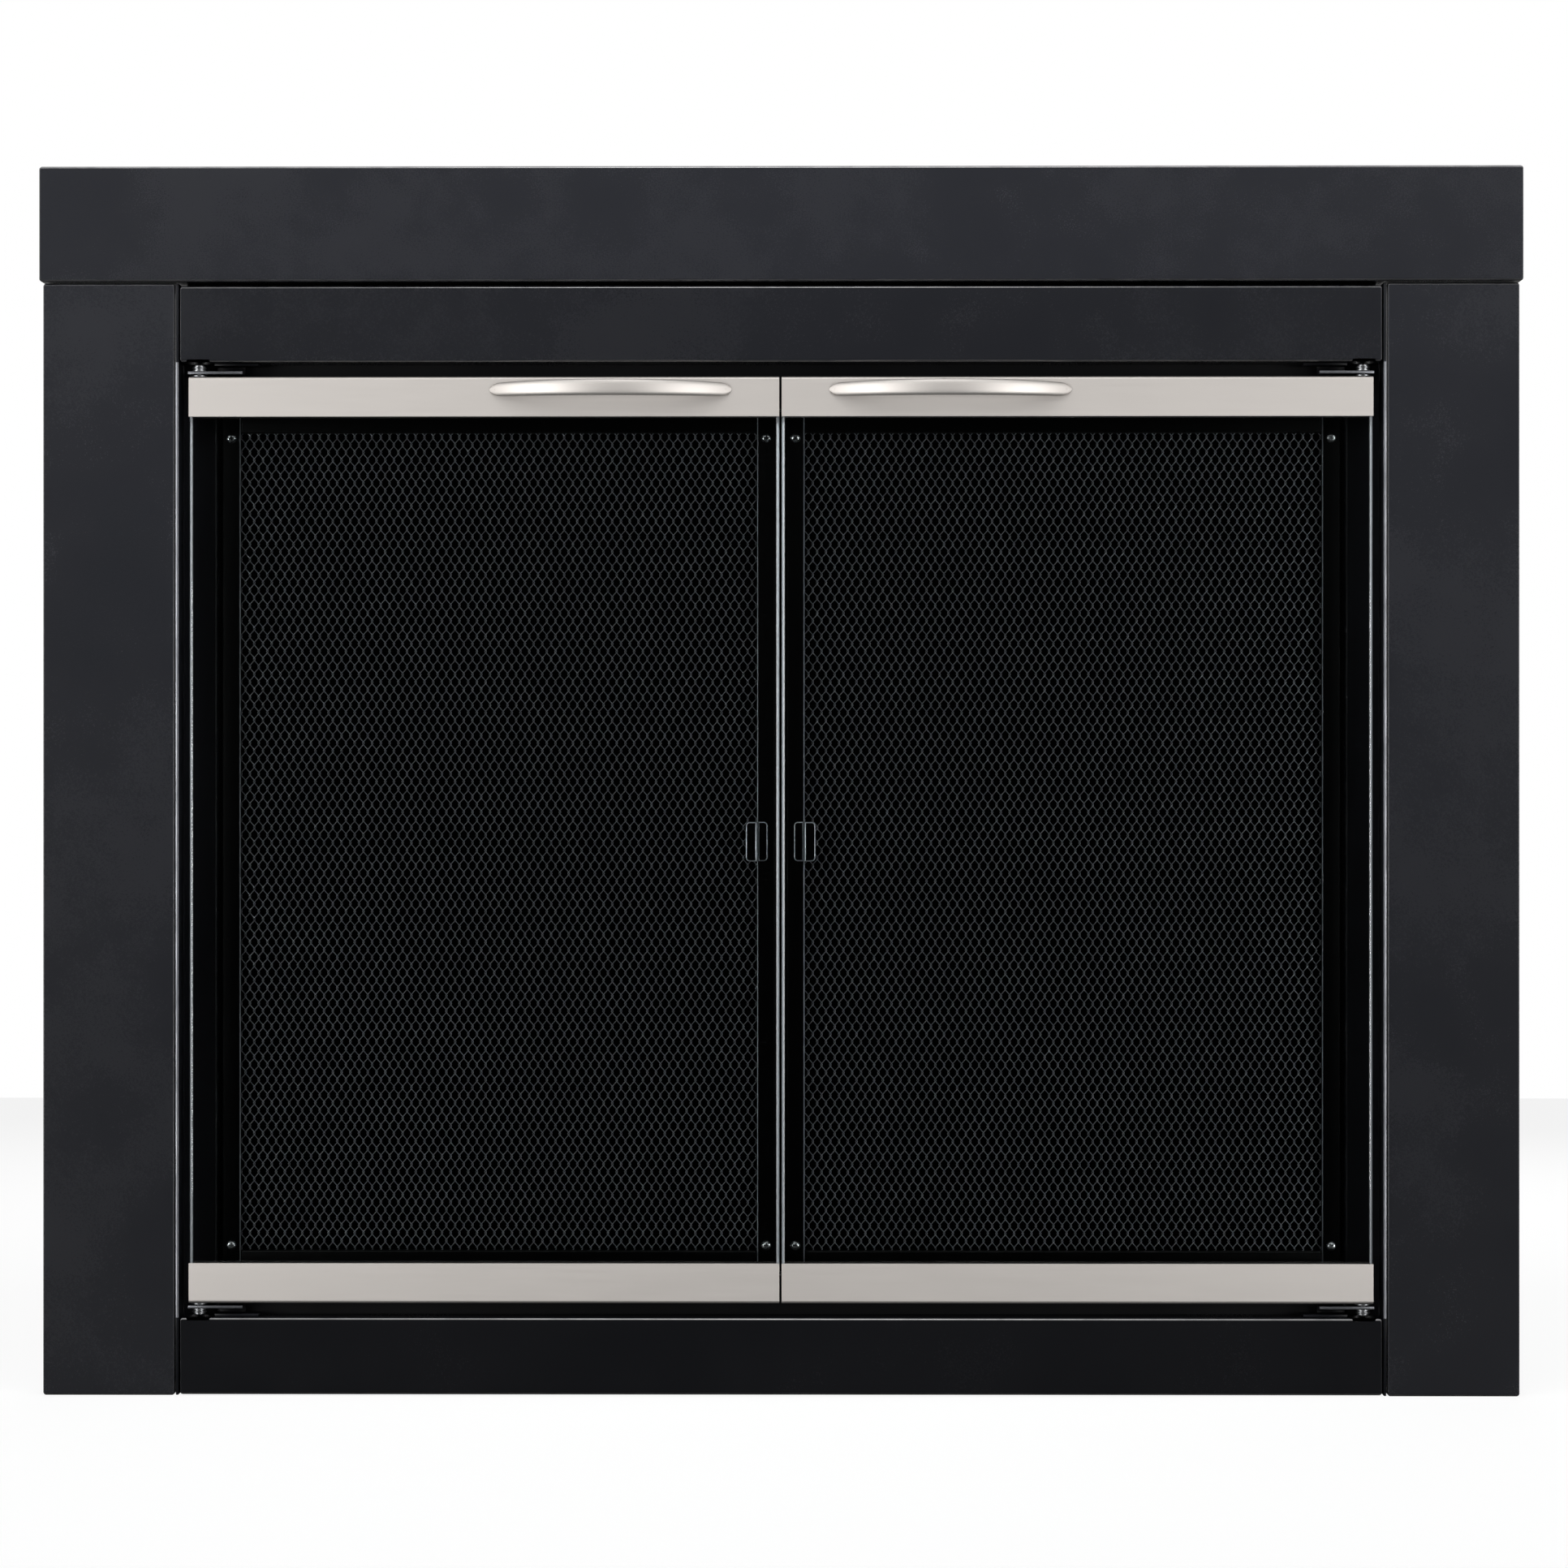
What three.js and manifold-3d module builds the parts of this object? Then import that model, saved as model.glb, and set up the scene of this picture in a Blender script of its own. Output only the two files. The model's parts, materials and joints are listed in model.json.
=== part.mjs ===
// Fireplace glass door: a black steel surround with a pair of framed-glass
// doors on vertical pivots and, behind them, a pair of hinged mesh gates.
//
// Units are millimetres. X runs across the hearth, Y runs into the wall and
// Z runs up. Y = 0 is the front face of the stile panels while the parts are
// laid out; the finished assembly is centred on X and Y and stands on Z = 0.

import * as THREE from 'three';
import { mergeVertices } from 'three/addons/utils/BufferGeometryUtils.js';
import Module from 'manifold-3d';

const wasm = await Module();
wasm.setup();

// ---------------------------------------------------------------- surround

const HEADER_WIDTH = 952.5;
const HEADER_HEIGHT = 74;
const HEADER_PROUD = 3;
const HEADER_OVERHANG = 2.15;
const STILE_WIDTH = 84.6;
const STILE_HEIGHT = 714.7;
const STILE_HEM = 10;
const UPPER_RAIL_HEIGHT = 49;
const UPPER_RAIL_SETDOWN = 1.8;
const LOWER_RAIL_HEIGHT = 49.4;
const LOWER_RAIL_LIFT = 0.6;
const FRAME_DEPTH = 38;
const SHEET = 1.6;
const BEND_RADIUS = 1.2;
const CORNER_RADIUS = 2;
const PANEL_SEAM = 0.9;
const SEAT_GAP = 0.3;

// ------------------------------------------- channels that line the opening

const STOP_DEPTH = 25;
const JAMB_STEP = 22.6;
const JAMB_LIFT = 0.3;
const HEAD_DROP = 29.4;
const HEAD_CHANNEL_HEIGHT = 65;
const SILL_RISE = 26.5;

// -------------------------------------------------------- glass door hinges

const HINGE_GAP = 9.3;
const HINGE_NOTCH_RADIUS = 10.4;
const BRACKET_DEPTH = 18.5;
const BRACKET_SETBACK = 1.5;
const BRACKET_BASE_SETBACK = 4;
const BRACKET_BASE_LENGTH = 28;
const BRACKET_LEAF_LENGTH = 35;
const BRACKET_LEAF_OVERHANG = 6.6;
const BRACKET_HEIGHT = 7.4;
const PIVOT_RADIUS = 2.5;
const PIVOT_BORE_CLEARANCE = 0.3;
const PIVOT_ENGAGEMENT = 10;
const NUT_ACROSS_CORNERS = 9.2;
const NUT_HEIGHT = 3.8;
const WASHER_RADIUS = 5;
const WASHER_THICKNESS = 1;

// --------------------------------------------------------------- glass door

const DOOR_SIDE_GAP = 6.5;
const DOOR_MEETING_GAP = 1.6;
const DOOR_SETBACK = 1;
const DOOR_RAIL_HEIGHT = 25.5;
const DOOR_RAIL_DEPTH = 13;
const DOOR_RAIL_WALL = 1.5;
const DOOR_RAIL_RADIUS = 1.2;
const PIVOT_INSET = 6.1;
const PIVOT_BLOCK_LENGTH = 16;
const PIVOT_BLOCK_HEIGHT = 12;
const GLASS_THICKNESS = 5;
const GLASS_BITE = 10;
const GLASS_ARRIS = 1.6;
const GASKET_CLEARANCE = 0.15;
const GASKET_WEB = 1.5;

// -------------------------------------------------------------- bow handle

const HANDLE_LENGTH = 155.6;
const HANDLE_FROM_MEETING = 30.6;
const HANDLE_HEIGHT = 10.4;
const HANDLE_TOP_SETDOWN = 3.2;
const HANDLE_PROJECTION = 26;
const HANDLE_THICKNESS = 6.5;
const HANDLE_FOOT = 11;
const HANDLE_EDGE_RADIUS = 2.4;
const HANDLE_END_RADIUS = 4.6;
const HANDLE_STUD_RADIUS = 2;
const HANDLE_STUD_LENGTH = 5;

// ------------------------------------------------------------ door catches

const CATCH_WIDTH = 34;
const CATCH_HEIGHT = 18;
const CATCH_FROM_CENTRE = 8;
const CATCH_RISE = 3;
const CATCH_EDGE_RADIUS = 1;
const POLE_WIDTH = 24;
const POLE_HEIGHT = 3;
const POLE_SPACING = 8;
const POLE_PROUD = 0.6;
const STRIKE_WIDTH = 30;
const STRIKE_HEIGHT = 15;
const STRIKE_THICKNESS = 1.2;

// --------------------------------------------------------------- mesh gate

const GATE_SIDE_GAP = 2.4;
const GATE_END_GAP = 2.4;
const GATE_MEETING_GAP = 7;
const GATE_SETBACK = 2;
const GATE_BAR_WIDTH = 11.9;
const GATE_RAIL_HEIGHT = 12;
const GATE_BAR_DEPTH = 4;
const GATE_BAR_ARRIS = 0.6;
const GATE_PIN_RADIUS = 1.7;
const GATE_PIN_LENGTH = 7;
const GATE_PIN_CLEARANCE = 0.3;
const NET_COLUMNS = 10;
const NET_ROWS = 9;
const NET_STRAND = 2.2;
const NET_THICKNESS = 2;
const NET_LAP = 4;
const CLIP_HEIGHT = 25.5;
const CLIP_CENTRE_HEIGHT = 355.7;
const CLIP_SHEET = 1.6;
const CLIP_BASE_LENGTH = 6;
const CLIP_BASE_INSET = 5;
const CLIP_REACH = 14;
const CLIP_FLANGE = 8;
const CLIP_CORNER_RADIUS = 2;

// ------------------------------------------------------- fixing to the wall

const CLAMP_SPREAD = 500;
const CLAMP_WIDTH = 25;
const CLAMP_STRAP = 3;
const CLAMP_REACH = 64;
const CLAMP_RISE = 45;
const CLAMP_BOLT_RADIUS = 3;
const CLAMP_BOLT_LENGTH = 38;
const CLAMP_BOLT_HEAD_CORNERS = 11.5;
const CLAMP_BOLT_HEAD_HEIGHT = 5;
const CLAMP_BOLT_HEIGHT = 32;
const CLAMP_PAD_RADIUS = 7;
const CLAMP_PAD_THICKNESS = 3;
const CLAMP_BOLT_CLEARANCE = 0.3;
const HEARTH_SPREAD = 600;
const HEARTH_WIDTH = 30;
const HEARTH_STRAP = 3;
const HEARTH_REACH = 68;
const HEARTH_RISE = 45;
const HEARTH_HOLE_RADIUS = 2.6;
const HEARTH_HOLE_INSET = 20;
const STRAP_CORNER_RADIUS = 4;

// ----------------------------------------------------------- derived levels

const HALF_SPREAD = HEADER_WIDTH / 2 - HEADER_OVERHANG;
const STILE_INNER = HALF_SPREAD - STILE_WIDTH;
const JAMB_OUTER = STILE_INNER - PANEL_SEAM;
const JAMB_INNER = JAMB_OUTER - SHEET;
const RAIL_HALF = JAMB_INNER - PANEL_SEAM;
const JAMB_RETURN = JAMB_INNER - JAMB_STEP;
const HEADER_BOTTOM = STILE_HEIGHT + PANEL_SEAM;
const UPPER_RAIL_TOP = STILE_HEIGHT - UPPER_RAIL_SETDOWN;
const UPPER_RAIL_BOTTOM = UPPER_RAIL_TOP - UPPER_RAIL_HEIGHT;
const LOWER_RAIL_TOP = LOWER_RAIL_LIFT + LOWER_RAIL_HEIGHT;
const HEAD_BOTTOM = UPPER_RAIL_BOTTOM - HEAD_DROP;
const HEAD_TOP = HEAD_BOTTOM + HEAD_CHANNEL_HEIGHT;
const SILL_TOP = LOWER_RAIL_TOP + SILL_RISE;

const DOOR_OUTER = JAMB_INNER - DOOR_SIDE_GAP;
const DOOR_MEETING = DOOR_MEETING_GAP / 2;
const DOOR_BACK = DOOR_SETBACK + DOOR_RAIL_DEPTH;
const PIVOT_X = DOOR_OUTER - PIVOT_INSET;
const PIVOT_Y = DOOR_SETBACK + DOOR_RAIL_DEPTH / 2;
const DOOR_BOTTOM = LOWER_RAIL_TOP + HINGE_GAP;
const DOOR_TOP = UPPER_RAIL_BOTTOM - HINGE_GAP;

const GATE_OUTER = JAMB_RETURN - GATE_SIDE_GAP;
const GATE_MEETING = GATE_MEETING_GAP / 2;
const GATE_BOTTOM = SILL_TOP + GATE_END_GAP;
const GATE_TOP = HEAD_BOTTOM - GATE_END_GAP;
const GATE_FRONT = STOP_DEPTH + GATE_SETBACK;
const GATE_BACK = GATE_FRONT + GATE_BAR_DEPTH;
const GATE_PIN_X = GATE_OUTER - GATE_BAR_WIDTH / 2;
const GATE_PIN_Y = GATE_FRONT + GATE_BAR_DEPTH / 2;

const FACETS = { arc: 3, bevel: 1, crown: 2, bow: 16, pin: 12, notch: 20, head: 6 };

// ---------------------------------------------------------------- materials

function finish(color, roughness, metalness) {
  return new THREE.MeshStandardMaterial({ color, roughness, metalness });
}

const blackPowderCoat = finish(0x34353a, 0.5, 0.1);
const charcoalPaint = finish(0x17191d, 0.6, 0.1);
const satinNickel = finish(0xc7c2bb, 0.35, 1);
const zincSteel = finish(0x9a9c9f, 0.4, 1);
const wireBlack = finish(0x2c2e32, 0.55, 0.4);
const gasketBlack = finish(0x101113, 0.85, 0);
const clearGlass = finish(0x8fa6a4, 0.05, 0);
clearGlass.transparent = true;
clearGlass.opacity = 0.3;

// ------------------------------------------------------------- solid making

// Turns that carry a profile's plane to the axis it is extruded along.
const TURN = {
  x: new THREE.Matrix4().set(0, 0, 1, 0, 1, 0, 0, 0, 0, 1, 0, 0, 0, 0, 0, 1),
  y: new THREE.Matrix4().set(1, 0, 0, 0, 0, 0, -1, 0, 0, 1, 0, 0, 0, 0, 0, 1),
  z: new THREE.Matrix4(),
};

// Extrudes a shape along an axis from one level to another. The shape's two
// coordinates are (y, z) along x, (x, z) along y and (x, y) along z.
function extrude(axis, shape, from, to, bevel = 0, bevelSegments = FACETS.bevel) {
  const geometry = new THREE.ExtrudeGeometry(shape, {
    depth: to - from - 2 * bevel,
    curveSegments: FACETS.arc,
    bevelEnabled: bevel > 0,
    bevelSize: bevel,
    bevelThickness: bevel,
    bevelOffset: -bevel,
    bevelSegments,
  });
  const start = axis === 'y' ? -to : from;
  return geometry.translate(0, 0, start + bevel).applyMatrix4(TURN[axis]);
}

function polygon(points) {
  return new THREE.Shape(points.map(([u, v]) => new THREE.Vector2(u, v)));
}

function rectangle(u0, v0, u1, v1) {
  return polygon([[u0, v0], [u1, v0], [u1, v1], [u0, v1]]);
}

function roundedRectangle(u0, v0, u1, v1, radius) {
  const shape = new THREE.Shape();
  shape.absarc(u1 - radius, v0 + radius, radius, -Math.PI / 2, 0);
  shape.absarc(u1 - radius, v1 - radius, radius, 0, Math.PI / 2);
  shape.absarc(u0 + radius, v1 - radius, radius, Math.PI / 2, Math.PI);
  shape.absarc(u0 + radius, v0 + radius, radius, Math.PI, 1.5 * Math.PI);
  return shape;
}

function box(x0, x1, y0, y1, z0, z1) {
  return extrude('z', rectangle(x0, y0, x1, y1), z0, z1);
}

// A round or, with few facets, a hexagonal bar along an axis.
function bar(axis, u, v, radius, from, to, facets = FACETS.pin) {
  const geometry = new THREE.CylinderGeometry(radius, radius, to - from, facets);
  geometry.rotateX(Math.PI / 2).translate(u, v, 0);
  const middle = (from + to) / 2;
  return geometry.translate(0, 0, axis === 'y' ? -middle : middle).applyMatrix4(TURN[axis]);
}

function toSolid(geometry) {
  const bare = geometry.clone();
  bare.deleteAttribute('normal');
  bare.deleteAttribute('uv');
  const merged = mergeVertices(bare, 1e-4);
  return new wasm.Manifold(new wasm.Mesh({
    numProp: 3,
    vertProperties: new Float32Array(merged.attributes.position.array),
    triVerts: new Uint32Array(merged.index.array),
  }));
}

function toGeometry(solid) {
  const mesh = solid.getMesh();
  const geometry = new THREE.BufferGeometry();
  geometry.setAttribute('position', new THREE.BufferAttribute(mesh.vertProperties, 3));
  geometry.setIndex(new THREE.BufferAttribute(mesh.triVerts, 1));
  geometry.computeVertexNormals();
  return geometry;
}

function join(...geometries) {
  return toGeometry(geometries.map(toSolid).reduce((sum, next) => sum.add(next)));
}

function cut(base, ...tools) {
  return toGeometry(tools.map(toSolid).reduce((rest, tool) => rest.subtract(tool), toSolid(base)));
}

function common(first, second) {
  return toGeometry(toSolid(first).intersect(toSolid(second)));
}

function part(name, geometry, material) {
  const mesh = new THREE.Mesh(geometry, material);
  mesh.name = name;
  return mesh;
}

// ------------------------------------------------------------ bent-up panels

// A shallow pan: a front face with bent edges and four returns, open behind.
function pan(x0, x1, z0, z1, front, back) {
  const outline = roundedRectangle(x0, z0, x1, z1, CORNER_RADIUS);
  const blank = extrude('y', outline, front, back + 2 * BEND_RADIUS, BEND_RADIUS);
  const hollow = box(
    x0 + SHEET, x1 - SHEET, front + SHEET, back + 3 * BEND_RADIUS, z0 + SHEET, z1 - SHEET);
  const behind = box(x0 - 1, x1 + 1, back, back + 3 * BEND_RADIUS, z0 - 1, z1 + 1);
  return cut(blank, hollow, behind);
}

function headerPanel() {
  const half = HEADER_WIDTH / 2;
  const top = HEADER_BOTTOM + HEADER_HEIGHT;
  return pan(-half, half, HEADER_BOTTOM, top, -HEADER_PROUD, FRAME_DEPTH);
}

// The stile's outer return reaches the wall and its inner one is a short hem.
function stilePanel() {
  const blank = pan(STILE_INNER, HALF_SPREAD, 0, STILE_HEIGHT, 0, FRAME_DEPTH);
  const hemRelief = box(
    STILE_INNER - 1, STILE_INNER + 2 * SHEET,
    STILE_HEM, FRAME_DEPTH + 1,
    SHEET, STILE_HEIGHT - SHEET);
  return cut(blank, hemRelief);
}

// Upper and lower rails have a round notch in the return that faces the
// doors, so that each pivot's nut has room; it just breaks the front edge.
function hingeNotches(returnLevel, inward) {
  const from = Math.min(returnLevel - inward, returnLevel + inward * SHEET * 1.1);
  const to = Math.max(returnLevel - inward, returnLevel + inward * SHEET * 1.1);
  return [-PIVOT_X, PIVOT_X].map((x) => bar('z', x, PIVOT_Y, HINGE_NOTCH_RADIUS, from, to, FACETS.notch));
}

function upperRailPanel() {
  const blank = pan(
    -RAIL_HALF, RAIL_HALF, UPPER_RAIL_BOTTOM, UPPER_RAIL_TOP, 0, STOP_DEPTH - SEAT_GAP);
  return cut(blank, ...hingeNotches(UPPER_RAIL_BOTTOM, 1));
}

function lowerRailPanel() {
  const blank = pan(
    -RAIL_HALF, RAIL_HALF, LOWER_RAIL_LIFT, LOWER_RAIL_TOP, 0, STOP_DEPTH - SEAT_GAP);
  return cut(blank, ...hingeNotches(LOWER_RAIL_TOP, -1));
}

// --------------------------------------------------------- opening channels

// Plan profile of a jamb: a web beside the door, a step behind it that the
// gate hangs within, and a return towards the wall.
function jambChannel() {
  const profile = polygon([
    [JAMB_INNER + SHEET / 4, 0],
    [JAMB_OUTER - SHEET / 4, 0],
    [JAMB_OUTER, SHEET / 4],
    [JAMB_OUTER, STOP_DEPTH + SHEET],
    [JAMB_RETURN + SHEET, STOP_DEPTH + SHEET],
    [JAMB_RETURN + SHEET, FRAME_DEPTH],
    [JAMB_RETURN, FRAME_DEPTH],
    [JAMB_RETURN, STOP_DEPTH],
    [JAMB_INNER, STOP_DEPTH],
    [JAMB_INNER, SHEET / 4],
  ]);
  return extrude('z', profile, JAMB_LIFT, STILE_HEIGHT);
}

// The head channel is a C that opens towards the wall; the gate pins turn in
// holes in its lower return.
function headChannel() {
  const half = JAMB_RETURN - SEAT_GAP;
  const profile = polygon([
    [STOP_DEPTH, HEAD_BOTTOM],
    [FRAME_DEPTH, HEAD_BOTTOM],
    [FRAME_DEPTH, HEAD_BOTTOM + SHEET],
    [STOP_DEPTH + SHEET, HEAD_BOTTOM + SHEET],
    [STOP_DEPTH + SHEET, HEAD_TOP - SHEET],
    [FRAME_DEPTH, HEAD_TOP - SHEET],
    [FRAME_DEPTH, HEAD_TOP],
    [STOP_DEPTH, HEAD_TOP],
  ]);
  const holes = gatePinHoles(HEAD_BOTTOM - 1, HEAD_BOTTOM + SHEET + 1);
  return cut(extrude('x', profile, -half, half), ...holes);
}

// The sill channel is an angle with its short leg towards the wall.
function sillChannel() {
  const half = JAMB_RETURN - SEAT_GAP;
  const profile = polygon([
    [STOP_DEPTH, JAMB_LIFT],
    [STOP_DEPTH + SHEET, JAMB_LIFT],
    [STOP_DEPTH + SHEET, SILL_TOP - SHEET],
    [FRAME_DEPTH, SILL_TOP - SHEET],
    [FRAME_DEPTH, SILL_TOP],
    [STOP_DEPTH, SILL_TOP],
  ]);
  const holes = gatePinHoles(SILL_TOP - SHEET - 1, SILL_TOP + 1);
  return cut(extrude('x', profile, -half, half), ...holes);
}

function gatePinHoles(from, to) {
  const radius = GATE_PIN_RADIUS + GATE_PIN_CLEARANCE;
  return [-GATE_PIN_X, GATE_PIN_X].map((x) => bar('z', x, GATE_PIN_Y, radius, from, to));
}

// ------------------------------------------------------------- door pivots

// Each pivot set is laid out on a rail's return as level 0, with the door on
// the positive side. The bracket is a C: a base leaf on the return and a
// longer leaf that carries the pivot screw.
const LEAF_BOTTOM = BRACKET_HEIGHT - SHEET;
const BRACKET_BACK = BRACKET_SETBACK + BRACKET_DEPTH;

function pivotBore(from, to) {
  return bar('z', PIVOT_X, PIVOT_Y, PIVOT_RADIUS + PIVOT_BORE_CLEARANCE, from, to);
}

function pivotBracket() {
  const baseInner = PIVOT_X - HINGE_NOTCH_RADIUS - BRACKET_BASE_LENGTH;
  const leafOuter = PIVOT_X + BRACKET_LEAF_OVERHANG;
  const leafInner = leafOuter - BRACKET_LEAF_LENGTH;
  const profile = polygon([
    [BRACKET_BASE_SETBACK, SEAT_GAP],
    [BRACKET_BACK, SEAT_GAP],
    [BRACKET_BACK, BRACKET_HEIGHT],
    [BRACKET_SETBACK, BRACKET_HEIGHT],
    [BRACKET_SETBACK, LEAF_BOTTOM],
    [BRACKET_BACK - SHEET, LEAF_BOTTOM],
    [BRACKET_BACK - SHEET, SEAT_GAP + SHEET],
    [BRACKET_BASE_SETBACK, SEAT_GAP + SHEET],
  ]);
  const beyondBase = box(
    PIVOT_X - HINGE_NOTCH_RADIUS, leafOuter + 1,
    0, BRACKET_BACK + 1,
    -1, LEAF_BOTTOM);
  const beyondLeaf = box(
    baseInner - 1, leafInner, 0, BRACKET_BACK + 1, SEAT_GAP + SHEET, BRACKET_HEIGHT + 1);
  const bore = pivotBore(LEAF_BOTTOM - 1, BRACKET_HEIGHT + 1);
  return cut(extrude('x', profile, baseInner, leafOuter), beyondBase, beyondLeaf, bore);
}

function pivotScrew() {
  const nutTop = LEAF_BOTTOM - SEAT_GAP;
  const nutBottom = nutTop - NUT_HEIGHT;
  const tip = HINGE_GAP + DOOR_RAIL_WALL + PIVOT_ENGAGEMENT;
  return join(
    bar('z', PIVOT_X, PIVOT_Y, PIVOT_RADIUS, nutBottom - PIVOT_RADIUS / 2, tip),
    bar('z', PIVOT_X, PIVOT_Y, NUT_ACROSS_CORNERS / 2, nutBottom, nutTop, FACETS.head));
}

function pivotWasher() {
  const top = HINGE_GAP - SEAT_GAP;
  const bottom = top - WASHER_THICKNESS;
  const disc = bar('z', PIVOT_X, PIVOT_Y, WASHER_RADIUS, bottom, top);
  return cut(disc, pivotBore(bottom - 1, top + 1));
}

// ------------------------------------------------------------- glass doors

// A door rail is a channel with its web towards the pivot and its mouth over
// the glass, laid out on the same level as the pivot set.
function doorRail(extraCuts) {
  const webLevel = HINGE_GAP;
  const mouth = HINGE_GAP + DOOR_RAIL_HEIGHT;
  const front = DOOR_SETBACK;
  const outline = new THREE.Shape();
  outline.moveTo(front, mouth);
  outline.absarc(
    front + DOOR_RAIL_RADIUS, webLevel + DOOR_RAIL_RADIUS, DOOR_RAIL_RADIUS, Math.PI, 1.5 * Math.PI);
  outline.absarc(
    DOOR_BACK - DOOR_RAIL_RADIUS, webLevel + DOOR_RAIL_RADIUS, DOOR_RAIL_RADIUS, -Math.PI / 2, 0);
  outline.lineTo(DOOR_BACK, mouth);
  outline.lineTo(DOOR_BACK - DOOR_RAIL_WALL, mouth);
  outline.lineTo(DOOR_BACK - DOOR_RAIL_WALL, webLevel + DOOR_RAIL_WALL);
  outline.lineTo(front + DOOR_RAIL_WALL, webLevel + DOOR_RAIL_WALL);
  outline.lineTo(front + DOOR_RAIL_WALL, mouth);
  const bore = pivotBore(webLevel - 1, webLevel + DOOR_RAIL_WALL + 1);
  return cut(extrude('x', outline, DOOR_MEETING, DOOR_OUTER), bore, ...extraCuts);
}

function pivotBlock() {
  const front = DOOR_SETBACK + DOOR_RAIL_WALL + GASKET_CLEARANCE;
  const back = DOOR_BACK - DOOR_RAIL_WALL - GASKET_CLEARANCE;
  const outer = DOOR_OUTER - SHEET / 4;
  const shape = roundedRectangle(outer - PIVOT_BLOCK_LENGTH, front, outer, back, BEND_RADIUS);
  const base = HINGE_GAP + DOOR_RAIL_WALL + SEAT_GAP;
  const top = base + PIVOT_BLOCK_HEIGHT;
  return cut(extrude('z', shape, base, top), pivotBore(base - 1, top + 1));
}

// A soft channel that grips the edge of the glass inside the rail.
function gasket() {
  const mouth = HINGE_GAP + DOOR_RAIL_HEIGHT;
  const edge = mouth - GLASS_BITE;
  const outerFront = DOOR_SETBACK + DOOR_RAIL_WALL + GASKET_CLEARANCE;
  const outerBack = DOOR_BACK - DOOR_RAIL_WALL - GASKET_CLEARANCE;
  const innerFront = PIVOT_Y - GLASS_THICKNESS / 2 - GASKET_CLEARANCE;
  const innerBack = PIVOT_Y + GLASS_THICKNESS / 2 + GASKET_CLEARANCE;
  const floor = edge - GASKET_CLEARANCE;
  const profile = polygon([
    [outerFront, mouth],
    [outerFront, floor - GASKET_WEB],
    [outerBack, floor - GASKET_WEB],
    [outerBack, mouth],
    [innerBack, mouth],
    [innerBack, floor],
    [innerFront, floor],
    [innerFront, mouth],
  ]);
  return extrude('x', profile, DOOR_MEETING + SHEET, DOOR_OUTER - SHEET);
}

function glassPane() {
  const edge = DOOR_RAIL_HEIGHT - GLASS_BITE;
  const outline = roundedRectangle(
    DOOR_MEETING, DOOR_BOTTOM + edge, DOOR_OUTER, DOOR_TOP - edge, CORNER_RADIUS);
  const front = PIVOT_Y - GLASS_THICKNESS / 2;
  return extrude('y', outline, front, front + GLASS_THICKNESS, GLASS_ARRIS, FACETS.crown);
}

// -------------------------------------------------------------- bow handle

const HANDLE_INNER = DOOR_MEETING + HANDLE_FROM_MEETING;
const HANDLE_MIDDLE = HANDLE_INNER + HANDLE_LENGTH / 2;
const HANDLE_TOP = DOOR_TOP - HANDLE_TOP_SETDOWN;
const HANDLE_FACE = DOOR_SETBACK - SEAT_GAP;
const STUD_SPACING = HANDLE_LENGTH - HANDLE_FOOT;

// One edge of the bow in plan: an arc of a given half chord and rise.
function bowArc(halfChord, rise, direction) {
  const radius = (halfChord * halfChord + rise * rise) / (2 * rise);
  const halfAngle = Math.asin(halfChord / radius);
  const points = [];
  for (let step = 0; step <= FACETS.bow; step += 1) {
    const angle = direction * halfAngle * (1 - (2 * step) / FACETS.bow);
    points.push([
      HANDLE_MIDDLE + radius * Math.sin(angle),
      HANDLE_FACE - rise + radius * (1 - Math.cos(angle)),
    ]);
  }
  return points;
}

function studPositions() {
  return [-1, 1].map((side) => HANDLE_MIDDLE + (side * STUD_SPACING) / 2);
}

function studLevel() {
  return HANDLE_TOP - HANDLE_HEIGHT / 2;
}

// The bow is its plan outline with rounded edges, trimmed to the rounded ends
// that it shows from the front, with a threaded stud at each foot.
function bowHandle() {
  const outline = polygon([
    ...bowArc(HANDLE_LENGTH / 2, HANDLE_PROJECTION, 1),
    ...bowArc(HANDLE_LENGTH / 2 - HANDLE_FOOT, HANDLE_PROJECTION - HANDLE_THICKNESS, -1),
  ]);
  const bottom = HANDLE_TOP - HANDLE_HEIGHT;
  const bow = extrude('z', outline, bottom, HANDLE_TOP, HANDLE_EDGE_RADIUS, FACETS.crown);
  const frontOutline = roundedRectangle(
    HANDLE_INNER, bottom, HANDLE_INNER + HANDLE_LENGTH, HANDLE_TOP, HANDLE_END_RADIUS);
  const envelope = extrude(
    'y', frontOutline, HANDLE_FACE - HANDLE_PROJECTION - 1, HANDLE_FACE);
  const studs = studPositions().map((x) => bar(
    'y', x, studLevel(), HANDLE_STUD_RADIUS,
    HANDLE_FACE - HANDLE_THICKNESS / 2, HANDLE_FACE + HANDLE_STUD_LENGTH));
  return join(common(bow, envelope), ...studs);
}

// Holes for the handle's studs, on the rail's own level.
function studHoles() {
  const level = UPPER_RAIL_BOTTOM - studLevel();
  return studPositions().map((x) => bar(
    'y', x, level, HANDLE_STUD_RADIUS + PIVOT_BORE_CLEARANCE,
    DOOR_SETBACK - 1, DOOR_SETBACK + DOOR_RAIL_WALL + 1));
}

// ------------------------------------------------------------ door catches

const STRIKE_FRONT = DOOR_BACK + SEAT_GAP;
const POLE_FACE = STRIKE_FRONT + STRIKE_THICKNESS + SEAT_GAP;

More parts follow.
